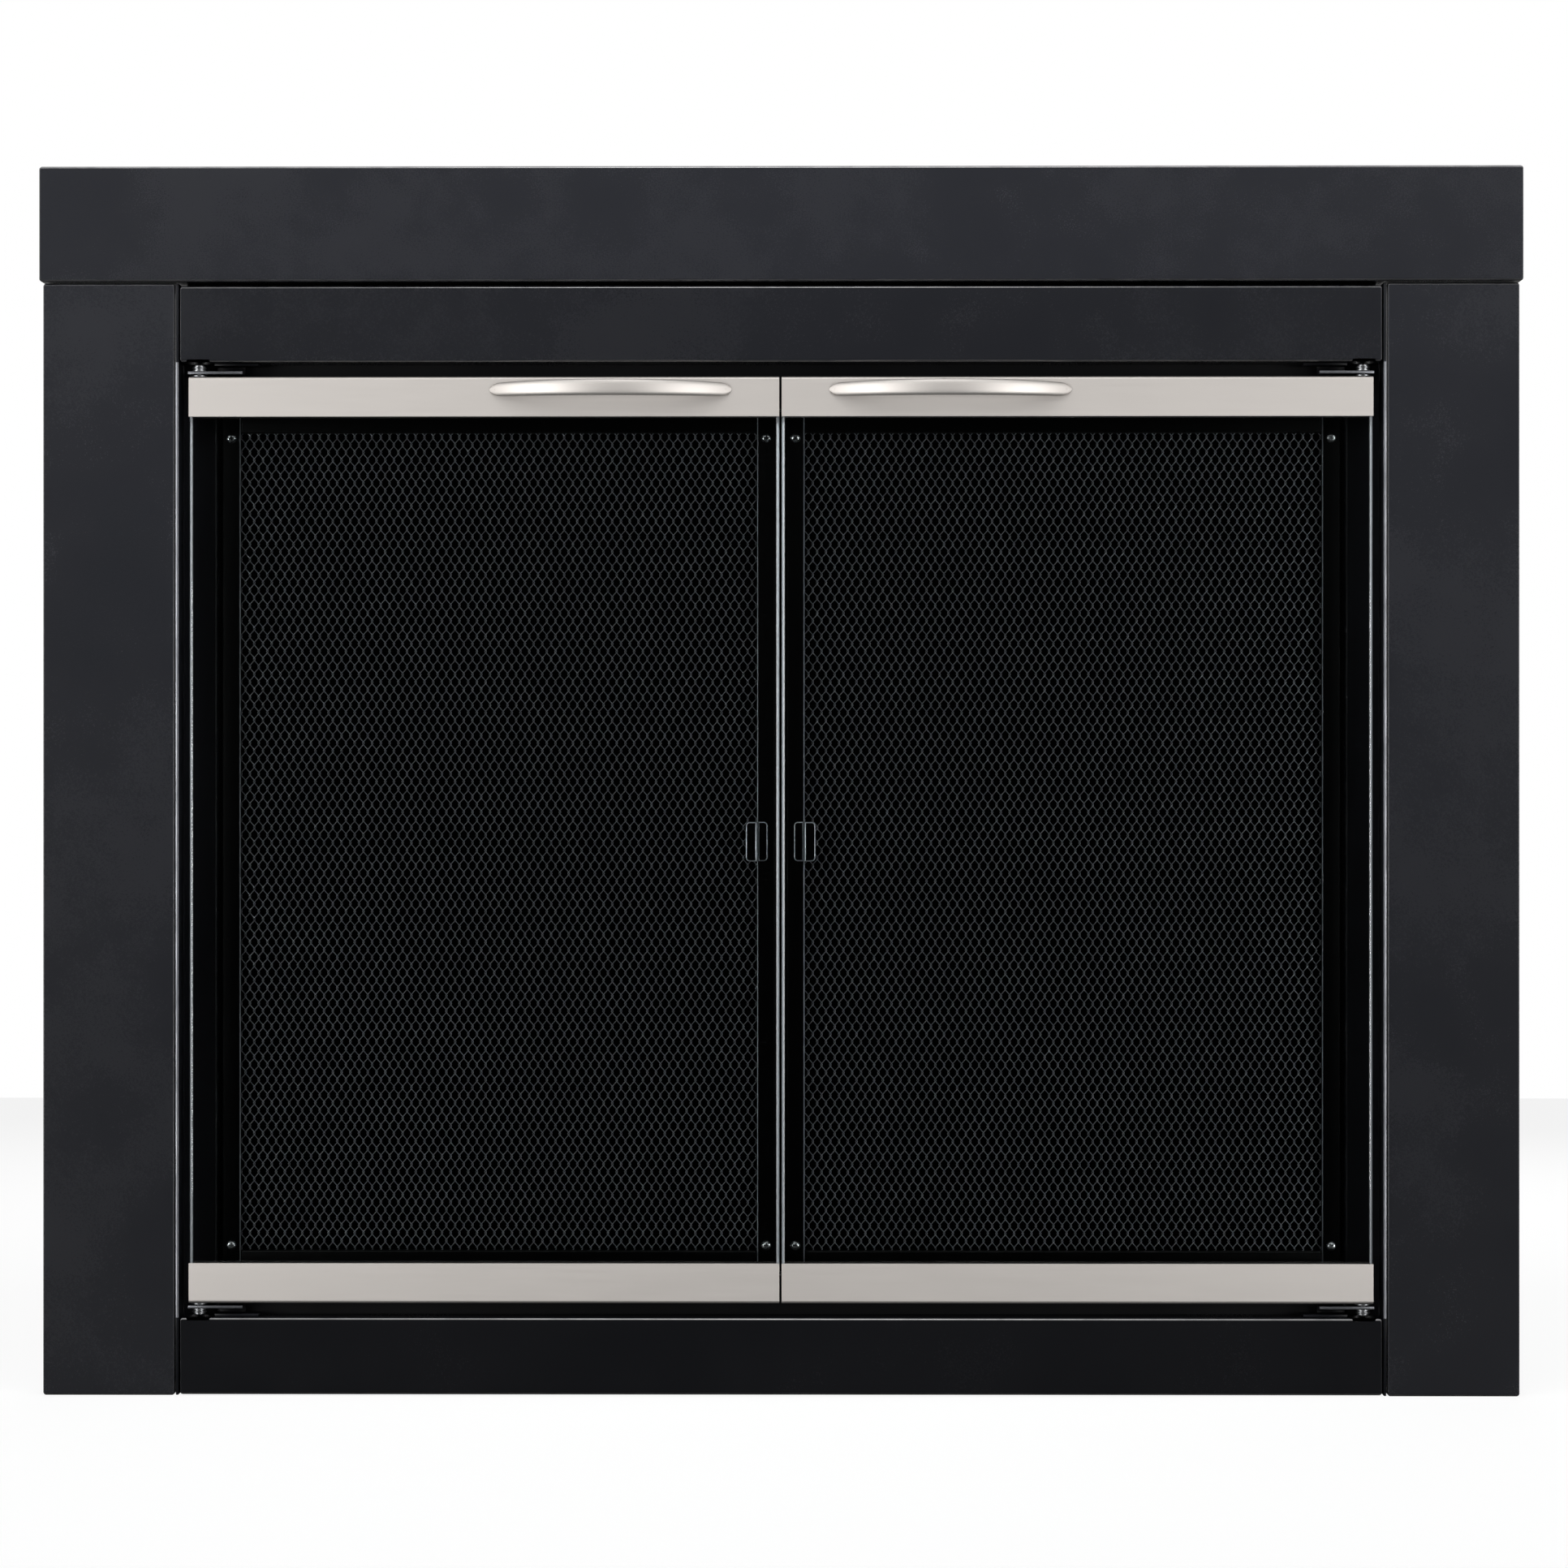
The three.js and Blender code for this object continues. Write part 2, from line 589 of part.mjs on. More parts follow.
function strikePlate() {
  const middle = CATCH_FROM_CENTRE + CATCH_WIDTH / 2;
  const base = HEAD_BOTTOM + CATCH_RISE + (CATCH_HEIGHT - STRIKE_HEIGHT) / 2;
  const outline = roundedRectangle(
    middle - STRIKE_WIDTH / 2, base, middle + STRIKE_WIDTH / 2, base + STRIKE_HEIGHT, CORNER_RADIUS);
  return extrude('y', outline, STRIKE_FRONT, STRIKE_FRONT + STRIKE_THICKNESS);
}

// A magnet housing on the head channel, with its two pole plates showing.
function magneticCatch() {
  const base = HEAD_BOTTOM + CATCH_RISE;
  const middle = CATCH_FROM_CENTRE + CATCH_WIDTH / 2;
  const outline = roundedRectangle(
    CATCH_FROM_CENTRE, base, CATCH_FROM_CENTRE + CATCH_WIDTH, base + CATCH_HEIGHT, CORNER_RADIUS);
  const housing = extrude(
    'y', outline, POLE_FACE + POLE_PROUD, STOP_DEPTH - SEAT_GAP, CATCH_EDGE_RADIUS);
  const poles = [-1, 1].map((side) => {
    const level = base + CATCH_HEIGHT / 2 + (side * POLE_SPACING) / 2;
    return box(
      middle - POLE_WIDTH / 2, middle + POLE_WIDTH / 2,
      POLE_FACE, POLE_FACE + 3 * POLE_PROUD,
      level - POLE_HEIGHT / 2, level + POLE_HEIGHT / 2);
  });
  return join(housing, ...poles);
}

// --------------------------------------------------------------- mesh gates

function gateBar(x0, x1, z0, z1) {
  return extrude('y', rectangle(x0, z0, x1, z1), GATE_FRONT, GATE_BACK, GATE_BAR_ARRIS);
}

// The hinge stile has a pin at each end that turns in the head and the sill.
function gateHingeStile() {
  const stile = gateBar(GATE_OUTER - GATE_BAR_WIDTH, GATE_OUTER, GATE_BOTTOM, GATE_TOP);
  const pins = bar(
    'z', GATE_PIN_X, GATE_PIN_Y, GATE_PIN_RADIUS,
    GATE_BOTTOM - GATE_PIN_LENGTH, GATE_TOP + GATE_PIN_LENGTH);
  return join(stile, pins);
}

function gateMeetingStile() {
  return gateBar(GATE_MEETING, GATE_MEETING + GATE_BAR_WIDTH, GATE_BOTTOM, GATE_TOP);
}

function gateRail(z0) {
  const inner = GATE_MEETING + GATE_BAR_WIDTH + SEAT_GAP;
  const outer = GATE_OUTER - GATE_BAR_WIDTH - SEAT_GAP;
  return gateBar(inner, outer, z0, z0 + GATE_RAIL_HEIGHT);
}

// The gaps of a diamond net that fills a rectangle exactly: whole diamonds
// inside, halves along its edges and quarters in its corners.
function diamondGaps(x0, x1, z0, z1) {
  const halfWidth = (x1 - x0) / NET_COLUMNS / 2;
  const halfHeight = (z1 - z0) / NET_ROWS / 2;
  const toStrand = (halfWidth * halfHeight) / Math.hypot(halfWidth, halfHeight);
  const shrink = 1 - NET_STRAND / 2 / toStrand;
  const corners = [[1, 0], [0, 1], [-1, 0], [0, -1]];
  const gaps = [];
  for (let column = 0; column <= 2 * NET_COLUMNS; column += 1) {
    for (let row = column % 2 === 0 ? 0 : 1; row <= 2 * NET_ROWS; row += 2) {
      const inside = corners.filter(([u, v]) => (
        column + u >= 0 && column + u <= 2 * NET_COLUMNS
        && row + v >= 0 && row + v <= 2 * NET_ROWS));
      if (inside.length === 2) {
        inside.push([0, 0]);
      }
      gaps.push(polygon(inside.map(([u, v]) => [
        x0 + halfWidth * (column + u * shrink),
        z0 + halfHeight * (row + v * shrink),
      ])));
    }
  }
  return gaps;
}

function gateNet() {
  const x0 = GATE_MEETING + GATE_BAR_WIDTH;
  const x1 = GATE_OUTER - GATE_BAR_WIDTH;
  const z0 = GATE_BOTTOM + GATE_RAIL_HEIGHT;
  const z1 = GATE_TOP - GATE_RAIL_HEIGHT;
  const front = GATE_BACK + SEAT_GAP;
  const back = front + NET_THICKNESS;
  const sheet = rectangle(x0 - NET_LAP, z0 - NET_LAP, x1 + NET_LAP, z1 + NET_LAP);
  const gaps = extrude('y', diamondGaps(x0, x1, z0, z1), front - 1, back + 1);
  return cut(extrude('y', sheet, front, back), gaps);
}

// A pull of bent strip: a base on the meeting stile, a riser and a finger
// flange that reaches over the net.
function clipHandle() {
  const base = GATE_FRONT - SEAT_GAP;
  const baseInner = GATE_MEETING + CLIP_BASE_INSET;
  const riser = baseInner + CLIP_BASE_LENGTH;
  const front = base - CLIP_REACH;
  const flangeEnd = riser + CLIP_FLANGE;
  const profile = polygon([
    [baseInner, base],
    [baseInner, base - CLIP_SHEET],
    [riser, base - CLIP_SHEET],
    [riser, front],
    [flangeEnd, front],
    [flangeEnd, front + CLIP_SHEET],
    [riser + CLIP_SHEET, front + CLIP_SHEET],
    [riser + CLIP_SHEET, base],
  ]);
  const bottom = CLIP_CENTRE_HEIGHT - CLIP_HEIGHT / 2;
  const strip = extrude('z', profile, bottom, bottom + CLIP_HEIGHT);
  const outline = roundedRectangle(
    baseInner, bottom, flangeEnd, bottom + CLIP_HEIGHT, CLIP_CORNER_RADIUS);
  return common(strip, extrude('y', outline, front - 1, base + 1));
}

// ------------------------------------------------------- fixing to the wall

const CLAMP_BASE = HEAD_TOP + SEAT_GAP;
const CLAMP_BACK = STOP_DEPTH + CLAMP_REACH;
const CLAMP_BOLT_LEVEL = CLAMP_BASE + CLAMP_BOLT_HEIGHT;

function angleStrap(middle, width, strap, front, back, base, top, uprightAtBack) {
  const upright = uprightAtBack ? [back - strap, back] : [front, front + strap];
  const foot = extrude(
    'z',
    roundedRectangle(middle - width / 2, front, middle + width / 2, back, STRAP_CORNER_RADIUS),
    base, base + strap);
  const leg = extrude(
    'y',
    roundedRectangle(middle - width / 2, base, middle + width / 2, top, STRAP_CORNER_RADIUS),
    ...upright);
  const heel = box(middle - width / 2, middle + width / 2, ...upright, base, base + strap);
  return join(foot, leg, heel);
}

// The strap lies on the head channel and turns up behind the lintel.
function lintelClamp() {
  const strap = angleStrap(
    CLAMP_SPREAD / 2, CLAMP_WIDTH, CLAMP_STRAP,
    STOP_DEPTH, CLAMP_BACK, CLAMP_BASE, CLAMP_BASE + CLAMP_RISE, true);
  const bore = bar(
    'y', CLAMP_SPREAD / 2, CLAMP_BOLT_LEVEL, CLAMP_BOLT_RADIUS + CLAMP_BOLT_CLEARANCE,
    CLAMP_BACK - CLAMP_STRAP - 1, CLAMP_BACK + 1);
  return cut(strap, bore);
}

function clampBolt() {
  const head = CLAMP_BACK + SEAT_GAP;
  const pad = head - CLAMP_BOLT_LENGTH;
  const x = CLAMP_SPREAD / 2;
  return join(
    bar('y', x, CLAMP_BOLT_LEVEL, CLAMP_BOLT_RADIUS, pad, head + 1),
    bar('y', x, CLAMP_BOLT_LEVEL, CLAMP_BOLT_HEAD_CORNERS / 2,
      head, head + CLAMP_BOLT_HEAD_HEIGHT, FACETS.head),
    bar('y', x, CLAMP_BOLT_LEVEL, CLAMP_PAD_RADIUS, pad - CLAMP_PAD_THICKNESS, pad));
}

// The hearth bracket stands behind the sill channel and is screwed down.
function hearthBracket() {
  const front = STOP_DEPTH + SHEET + SEAT_GAP;
  const back = front + HEARTH_REACH;
  const strap = angleStrap(
    HEARTH_SPREAD / 2, HEARTH_WIDTH, HEARTH_STRAP, front, back, 0, HEARTH_RISE, false);
  const hole = bar(
    'z', HEARTH_SPREAD / 2, back - HEARTH_HOLE_INSET, HEARTH_HOLE_RADIUS, -1, HEARTH_STRAP + 1);
  return cut(strap, hole);
}

// ----------------------------------------------------------------- assembly

// A pivot with the rail it turns in. The lower set stands on the lower rail
// and the upper one hangs from the upper rail as its mirror image.
function pivotSet(side, end) {
  const set = new THREE.Group();
  const upper = end === 'upper';
  set.position.z = upper ? UPPER_RAIL_BOTTOM : LOWER_RAIL_TOP;
  set.scale.z = upper ? -1 : 1;
  set.add(
    part(`${side}_${end}_pivot_bracket`, pivotBracket(), zincSteel),
    part(`${side}_${end}_pivot_screw`, pivotScrew(), zincSteel),
    part(`${side}_${end}_pivot_washer`, pivotWasher(), zincSteel),
    part(`${side}_door_${end}_rail`, doorRail(upper ? studHoles() : []), satinNickel),
    part(`${side}_door_${end}_pivot_block`, pivotBlock(), zincSteel),
    part(`${side}_door_${end}_gasket`, gasket(), gasketBlack));
  return set;
}

function buildSide(side) {
  const half = new THREE.Group();
  half.scale.x = side === 'left' ? -1 : 1;
  half.add(
    part(`${side}_stile_panel`, stilePanel(), blackPowderCoat),
    part(`${side}_jamb_channel`, jambChannel(), charcoalPaint),
    pivotSet(side, 'upper'),
    pivotSet(side, 'lower'),
    part(`${side}_door_glass`, glassPane(), clearGlass),
    part(`${side}_door_handle`, bowHandle(), satinNickel),
    part(`${side}_door_strike_plate`, strikePlate(), zincSteel),
    part(`${side}_magnetic_catch`, magneticCatch(), charcoalPaint),
    part(`${side}_gate_hinge_stile`, gateHingeStile(), charcoalPaint),
    part(`${side}_gate_meeting_stile`, gateMeetingStile(), charcoalPaint),
    part(`${side}_gate_upper_rail`, gateRail(GATE_TOP - GATE_RAIL_HEIGHT), charcoalPaint),
    part(`${side}_gate_lower_rail`, gateRail(GATE_BOTTOM), charcoalPaint),
    part(`${side}_gate_net`, gateNet(), wireBlack),
    part(`${side}_gate_clip`, clipHandle(), charcoalPaint),
    part(`${side}_lintel_clamp`, lintelClamp(), zincSteel),
    part(`${side}_clamp_bolt`, clampBolt(), zincSteel),
    part(`${side}_hearth_bracket`, hearthBracket(), zincSteel));
  return half;
}

const layout = new THREE.Group();
layout.add(
  part('header_panel', headerPanel(), blackPowderCoat),
  part('upper_rail_panel', upperRailPanel(), blackPowderCoat),
  part('lower_rail_panel', lowerRailPanel(), blackPowderCoat),
  part('head_channel', headChannel(), charcoalPaint),
  part('sill_channel', sillChannel(), charcoalPaint),
  buildSide('left'),
  buildSide('right'));

// Centre the depth on the assembly's own box.
const extent = new THREE.Box3().setFromObject(layout);
layout.position.y = -(extent.min.y + extent.max.y) / 2;

const fireplaceDoor = new THREE.Group();
fireplaceDoor.add(layout);

export default fireplaceDoor;
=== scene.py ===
"""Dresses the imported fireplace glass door: bent and powder-coated sheet,
satin nickel rails, pencil-edged glass and woven wire screens.

Lengths are written in millimetres on the right-hand side of the door, with
y = 0 at the front face of the stile panels, and are carried to metres in the
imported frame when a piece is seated.
"""

import json
import math

import bmesh
import bpy
from mathutils import Matrix, Vector

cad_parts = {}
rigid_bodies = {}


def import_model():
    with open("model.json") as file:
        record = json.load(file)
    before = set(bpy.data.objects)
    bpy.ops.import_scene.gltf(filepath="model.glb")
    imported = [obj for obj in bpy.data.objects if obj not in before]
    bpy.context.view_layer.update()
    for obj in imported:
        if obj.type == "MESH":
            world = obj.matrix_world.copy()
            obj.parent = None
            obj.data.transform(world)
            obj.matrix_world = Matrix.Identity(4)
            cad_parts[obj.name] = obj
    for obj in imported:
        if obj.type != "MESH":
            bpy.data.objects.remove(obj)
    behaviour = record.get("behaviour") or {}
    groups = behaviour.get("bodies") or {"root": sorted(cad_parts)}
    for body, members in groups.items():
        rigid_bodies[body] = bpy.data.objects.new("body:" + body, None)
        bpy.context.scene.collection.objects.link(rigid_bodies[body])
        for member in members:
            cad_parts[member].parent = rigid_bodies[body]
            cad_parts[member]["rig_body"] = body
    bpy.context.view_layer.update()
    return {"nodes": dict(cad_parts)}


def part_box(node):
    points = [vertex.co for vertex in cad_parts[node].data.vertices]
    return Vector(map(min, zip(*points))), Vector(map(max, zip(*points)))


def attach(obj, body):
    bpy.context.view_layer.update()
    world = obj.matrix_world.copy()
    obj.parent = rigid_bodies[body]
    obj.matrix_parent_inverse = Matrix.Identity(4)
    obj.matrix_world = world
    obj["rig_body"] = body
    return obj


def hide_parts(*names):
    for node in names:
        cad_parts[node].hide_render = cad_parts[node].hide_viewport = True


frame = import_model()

MM = 0.001
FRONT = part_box("left_stile_panel")[0].y
SIDES = {"left": -1, "right": 1}

# ------------------------------------------------------------- surround

HEADER_HALF = 476.25
HEADER_BOTTOM = 715.6
HEADER_TOP = 789.6
STILE_INNER = 389.5
STILE_OUTER = 474.1
STILE_TOP = 714.7
RAIL_HALF = 386.1
UPPER_RAIL = (663.9, 712.9)
LOWER_RAIL = (0.6, 50.0)
HEADER_FRONT = -3
PAN_BACK = 38.0
RAIL_BACK = 24.7
SHEET = 1.6
SEAT_GAP = 0.3
PANEL_BEND = 1.8
PANEL_CORNER = 2.0
PANEL_RIM = 0.25
UPRIGHT_BEND = 0.4
# share of the bend mark on upright bends, and so of their polish, rubbing and painted highlight;
# level bends take the full share
UPRIGHT_RUB_AND_HIGHLIGHT = 0.07

CHANNEL_FRONT = 25.0
CHANNEL_HALF = 364.1
CHANNEL_BEND = 0.5
JAMB_WEB = 387.0
JAMB_STEP = 364.4
HEAD_CHANNEL = (634.5, 699.5)
SILL_TOP = 76.5
JAMB_LIGHT_EDGE_DEPTH = 0.45

# --------------------------------------------------------- pivots, doors

PIVOT = (374.4, 7.5)
PIVOT_BORE = 2.8
NOTCH_RADIUS = 10.4
NOTCH_DEPTH = 2.0
BRACKET_X = (336.0, 381.0)
BRACKET_BACK = 20.0
BRACKET_HEIGHT = 7.4
BASE_LEAF_FRONT = 4.0
BASE_LEAF_END = 364.0
DOOR_LEAF_FRONT = 1.5
DOOR_LEAF_END = 346.0
LEAF_LIGHT_EDGE_DEPTH = 2.0
PIVOT_BLOCK_X = (364.1, 380.1)
PIVOT_BLOCK_HEIGHT = 12
RAIL_LEVEL = 9.3
RAIL_HEIGHT = 25.5
DOOR_SPAN = (0.8, 380.5)
DOOR_DEPTH = (1.0, 14.0)
NICKEL = 1.5
GLASS_Z = (74.8, 639.1)
GLASS_DEPTH = (5.0, 10.0)
GLASS_CORNER = 2.6
GLASS_ROUND = 2.35
HANDLE_MIDDLE = 109.2
HANDLE_FACE = 0.7
HANDLE_LEVEL = 646.2
HANDLE_OUTER_ARC = (77.8, 26.0)
HANDLE_INNER_ARC = (66.8, 19.5)
HANDLE_HALF_HEIGHT = 5.2
HANDLE_TAPER = 0.9
HANDLE_TIP_LENGTH = 4.6
HANDLE_TIP_HALF_HEIGHT = 1.7
STUDS_X = (HANDLE_MIDDLE - 72.3, HANDLE_MIDDLE + 72.3)

# ------------------------------------------------------------ mesh gates

GATE_BAR_FRONT = 27.0
GATE_PIN = (356.05, 29.0)
PIN_HOLE_RADIUS = 2.0
GATE_SCREWS_X = (9.45, 356.05)
GATE_SCREWS_Z = (94.0, 617.0)
SCREEN_X = (11.6, 353.8)
SCREEN_Z = (86.6, 624.6)
SCREEN_MIDDLE = 32.35
COIL_WIDTH = 2.835
COIL_RISE = 9.93
SCREEN_DEPTH = 1.1
SCREEN_EDGE = 0.6
HOOK = 0.46
WIRE = 0.66
CLIP_X = (8.5, 14.5, 22.5)
CLIP_Y = (12.7, 26.7)
CLIP_Z = (342.95, 368.45)
CLIP_CORNER = 2.6

# ------------------------------------------------------ screws at the back

CLAMP_SCREW = (250, 31.5, 702.8)
BRACKET_SCREWS = (300, 29.9, (17.5, 34.5))
STRIKE_SCREWS = ((16, 34), 15.5, 646.5)


# ================================================================ nodes


class Field:
    """A node's output that takes part in arithmetic with numbers and other outputs."""

    def __init__(self, graph, socket):
        self.graph = graph
        self.socket = socket

    def _with(self, operation, first, second):
        return self.graph.node("ShaderNodeMath", {"operation": operation}, {0: first, 1: second})

    def __add__(self, other):
        return self._with("ADD", self, other)

    __radd__ = __add__

    def __sub__(self, other):
        return self._with("SUBTRACT", self, other)

    def __rsub__(self, other):
        return self._with("SUBTRACT", other, self)

    def __mul__(self, other):
        return self._with("MULTIPLY", self, other)

    __rmul__ = __mul__

    def __truediv__(self, other):
        return self._with("DIVIDE", self, other)

    def __mod__(self, other):
        return self._with("FLOORED_MODULO", self, other)

    def __gt__(self, other):
        return self._with("GREATER_THAN", self, other)

    def __lt__(self, other):
        return self._with("LESS_THAN", self, other)


class Graph:
    """A node tree, filled by one method that makes any node."""

    def __init__(self, tree):
        self.tree = tree
        self.tree.nodes.clear()

    def node(self, kind, settings=None, sockets=None, output=0):
        made = self.tree.nodes.new(kind)
        for name, value in (settings or {}).items():
            if name == "stops":
                self._set_stops(made.color_ramp, value)
            else:
                setattr(made, name, value)
        for name, value in (sockets or {}).items():
            self.feed(made.inputs[name], value)
        return Field(self, made.outputs[output]) if made.outputs else made

    def feed(self, socket, value):
        if isinstance(value, Field):
            self.tree.links.new(value.socket, socket)
        else:
            socket.default_value = value

    @staticmethod
    def _set_stops(ramp, stops):
        while len(ramp.elements) < len(stops):
            ramp.elements.new(0.5)
        for element, (place, colour) in zip(ramp.elements, stops):
            element.position = place
            element.color = colour


class Finish(Graph):
    """A surface finish on one Principled shader."""

    def __init__(self, name, **constants):
        self.material = bpy.data.materials.new(name)
        self.material.use_nodes = True
        super().__init__(self.material.node_tree)
        self.shader = self.node("ShaderNodeBsdfPrincipled")
        for socket, value in constants.items():
            self.shader.socket.node.inputs[socket.replace("_", " ")].default_value = value
        self.surface = self.tree.nodes.new("ShaderNodeOutputMaterial").inputs["Surface"]
        self.show(self.shader)
        self.place = self.node("ShaderNodeTexCoord", output=3)

    def show(self, shader):
        self.feed(self.surface, shader)

    def vary(self, **fields):
        for socket, field in fields.items():
            self.feed(self.shader.socket.node.inputs[socket.replace("_", " ")], field)

    def grain(self, size, detail=2.0, roughness=0.5, stretch=(1, 1, 1)):
        """Noise about 0.5 whose features measure size in millimetres, times stretch."""
        place = self.node(
            "ShaderNodeMapping", None,
            {"Vector": self.place, "Scale": [1 / factor for factor in stretch]})
        return self.node(
            "ShaderNodeTexNoise", None,
            {"Vector": place, "Scale": 1 / (size * MM), "Detail": detail, "Roughness": roughness})

    def ramp(self, value, low, high):
        """0 below low, 1 above high and a smooth rise between them."""
        return self.node(
            "ShaderNodeMapRange", {"interpolation_type": "SMOOTHSTEP"},
            {"Value": value, "From Min": low, "From Max": high})

    def blend(self, share, first, second):
        return self.node(
            "ShaderNodeMix", {"data_type": "RGBA"}, {0: share, 6: first, 7: second}, output=2)

    def edges(self):
        """1 on the level bends and chamfers that the mesh marks, less on upright ones, and 0 on
        its flats: the mask of the painted bend highlight.
        """
        return self.node("ShaderNodeAttribute", {"attribute_name": "edge"}, output=2)

    def bump(self, height, distance, strength):
        """The normals of a relief that is distance millimetres deep."""
        return self.node(
            "ShaderNodeBump", None,
            {"Height": height, "Distance": distance * MM, "Strength": strength})


def colour(red, green, blue):
    return (red, green, blue, 1.0)


# ============================================================= finishes


def powder_coat(name, tone, roughness, specular, polish=1.0):
    """Satin powder coat: fine orange peel, faint haze, bends polished by wiping and painted
    lighter in patches, level bends most, as a painted highlight that partly stands for rubbing.
    """
    finish = Finish(name, Specular_IOR_Level=specular, Coat_IOR=2.8, Coat_Roughness=0.22)
    haze = finish.grain(90, 3.0, 0.55)
    peel = finish.grain(0.9, 2.0, 0.5)
    speck = finish.ramp(finish.grain(0.45, 1.0), 0.62, 0.74)
    base = colour(tone * 0.86, tone * 0.92, tone * 1.18)
    pale = colour(tone * 1.24, tone * 1.30, tone * 1.60)
    body = finish.blend(finish.ramp(haze, 0.34, 0.66) * 0.5, base, pale)
    body = finish.blend(speck * 0.22, body, colour(tone * 2.6, tone * 2.7, tone * 3.1))
    bends = finish.edges()
    # painted highlight, partly rubbing: the marked bends, level ones most, blend in patches
    # towards a colour about three times lighter
    paler = bends * finish.ramp(finish.grain(14, 2.0), 0.3, 0.62)
    body = finish.blend(paler * 0.5, body, colour(tone * 3.2, tone * 3.3, tone * 3.6))
    finish.vary(
        Base_Color=body,
        Roughness=roughness + (haze - 0.5) * 0.10 + (peel - 0.5) * 0.06,
        Coat_Weight=(bends * 0.75 + paler * 0.25) * polish,
        Normal=finish.bump(peel, 0.012, 0.25))
    return finish.material


def satin_nickel(name, tone):
    """Nickel plate brushed along the rails, its bends painted a little lighter, level ones most,
    as a painted highlight.
    """
    finish = Finish(name, Metallic=1.0)
    strokes = finish.grain(0.22, 3.0, 0.6, (160, 1, 1))
    haze = finish.grain(60, 2.0, 0.5, (2.5, 1, 1))
    body = finish.blend(
        strokes, colour(tone * 0.94, tone * 0.887, tone * 0.84),
        colour(tone * 1.06, tone * 1.003, tone * 0.952))
    body = finish.blend(
        finish.ramp(haze, 0.35, 0.7) * 0.35, body,
        colour(tone * 0.965, tone * 0.912, tone * 0.863))
    # painted highlight: the marked bends, level ones most, a little lighter
    body = finish.blend(
        finish.edges() * 0.3, body, colour(tone * 1.1, tone * 1.06, tone * 1.02))
    finish.vary(
        Base_Color=body,
        Roughness=0.54 + (strokes - 0.5) * 0.14 + (haze - 0.5) * 0.05,
        Normal=finish.bump(strokes, 0.004, 0.25))
    return finish.material


def zinc_plate(name, tone, roughness=0.24):
    """Zinc on screws, washers and straps, dulled a little by handling."""
    finish = Finish(name, Metallic=1.0)
    spangle = finish.grain(2.0, 2.0, 0.6)
    marks = finish.ramp(finish.grain(24, 2.0, 0.5), 0.35, 0.75)
    body = finish.blend(
        spangle, colour(tone, tone * 1.03, tone * 1.07),
        colour(tone * 1.4, tone * 1.44, tone * 1.48))
    body = finish.blend(marks * 0.25, body, colour(tone * 0.7, tone * 0.7, tone * 0.74))
    finish.vary(
        Base_Color=body,
        Roughness=roughness + (spangle - 0.5) * 0.10 + marks * 0.10,
        Normal=finish.bump(spangle, 0.01, 0.2))
    return finish.material


def bare_and_highlit_edge(name, tone):
    """A light steel colour on the thin edge of a painted bar or channel: partly steel rubbed bare,
    partly a painted highlight where the edge catches the light.
    """
    finish = Finish(name, Metallic=0.6)
    streaks = finish.ramp(finish.grain(5, 3.0, 0.6, (1, 1, 6)), 0.25, 0.7)
    body = finish.blend(
        streaks, colour(tone, tone * 1.04, tone * 1.14), colour(tone * 1.75, tone * 1.8, tone * 1.94))
    finish.vary(
        Base_Color=body,
        Roughness=0.42 - streaks * 0.1,
        Normal=finish.bump(finish.grain(0.6), 0.02, 0.3))
    return finish.material


def gate_wire():
    """Black-painted spring wire, rubbed to grey where the coils hook together."""
    finish = Finish("gate_wire_black", Metallic=0.7)
    patches = finish.grain(6, 2.0)
    paler = finish.ramp(finish.grain(1.6, 1.0), 0.5, 0.68)
    body = finish.blend(patches, colour(0.24, 0.255, 0.29), colour(0.34, 0.355, 0.39))
    body = finish.blend(paler * 0.6, body, colour(0.56, 0.575, 0.61))
    finish.vary(
        Base_Color=body,
        Roughness=0.36 + (patches - 0.5) * 0.2,
        Normal=finish.bump(finish.grain(0.4), 0.02, 0.3))
    return finish.material


def rubber():
    finish = Finish("gasket_rubber_black", Specular_IOR_Level=0.3)
    bloom = finish.ramp(finish.grain(7, 3.0), 0.35, 0.7)
    body = finish.blend(bloom, colour(0.010, 0.010, 0.011), colour(0.026, 0.026, 0.028))
    finish.vary(
        Base_Color=body,
        Roughness=0.72 + bloom * 0.12,
        Normal=finish.bump(finish.grain(0.6), 0.03, 0.4))
    return finish.material


def clear_glass():
    """Clear float glass that lamps shine through, with a little dust on it."""
    finish = Finish("door_glass_clear")
    smears = finish.ramp(finish.grain(110, 3.0, 0.6, (1, 1, 1.6)), 0.48, 0.8)
    sheen = finish.node(
        "ShaderNodeBsdfGlossy", None,
        {"Color": colour(1, 1, 1), "Roughness": smears * 0.05 + 0.01})
    through = finish.node(
        "ShaderNodeBsdfTransparent", None, {"Color": colour(0.965, 0.982, 0.978)})
    angle = finish.node("ShaderNodeFresnel", None, {"IOR": 1.5})
    pane = finish.node("ShaderNodeMixShader", None, {0: angle, 1: through, 2: sheen})
    finish.tree.nodes.remove(finish.shader.socket.node)
    finish.show(pane)
    return finish.material


def ground_edge():
    """The pencil-ground edge of the glass: satin, cool and slightly green."""
    finish = Finish("door_glass_ground_edge", Specular_IOR_Level=0.5)
    grinding = finish.grain(0.5, 2.0, 0.6, (1, 1, 30))
    body = finish.blend(grinding, colour(0.42, 0.47, 0.50), colour(0.60, 0.65, 0.69))
    finish.vary(
        Base_Color=body,
        Roughness=0.30 + (grinding - 0.5) * 0.2,
        Normal=finish.bump(grinding, 0.01, 0.3))
    return finish.material
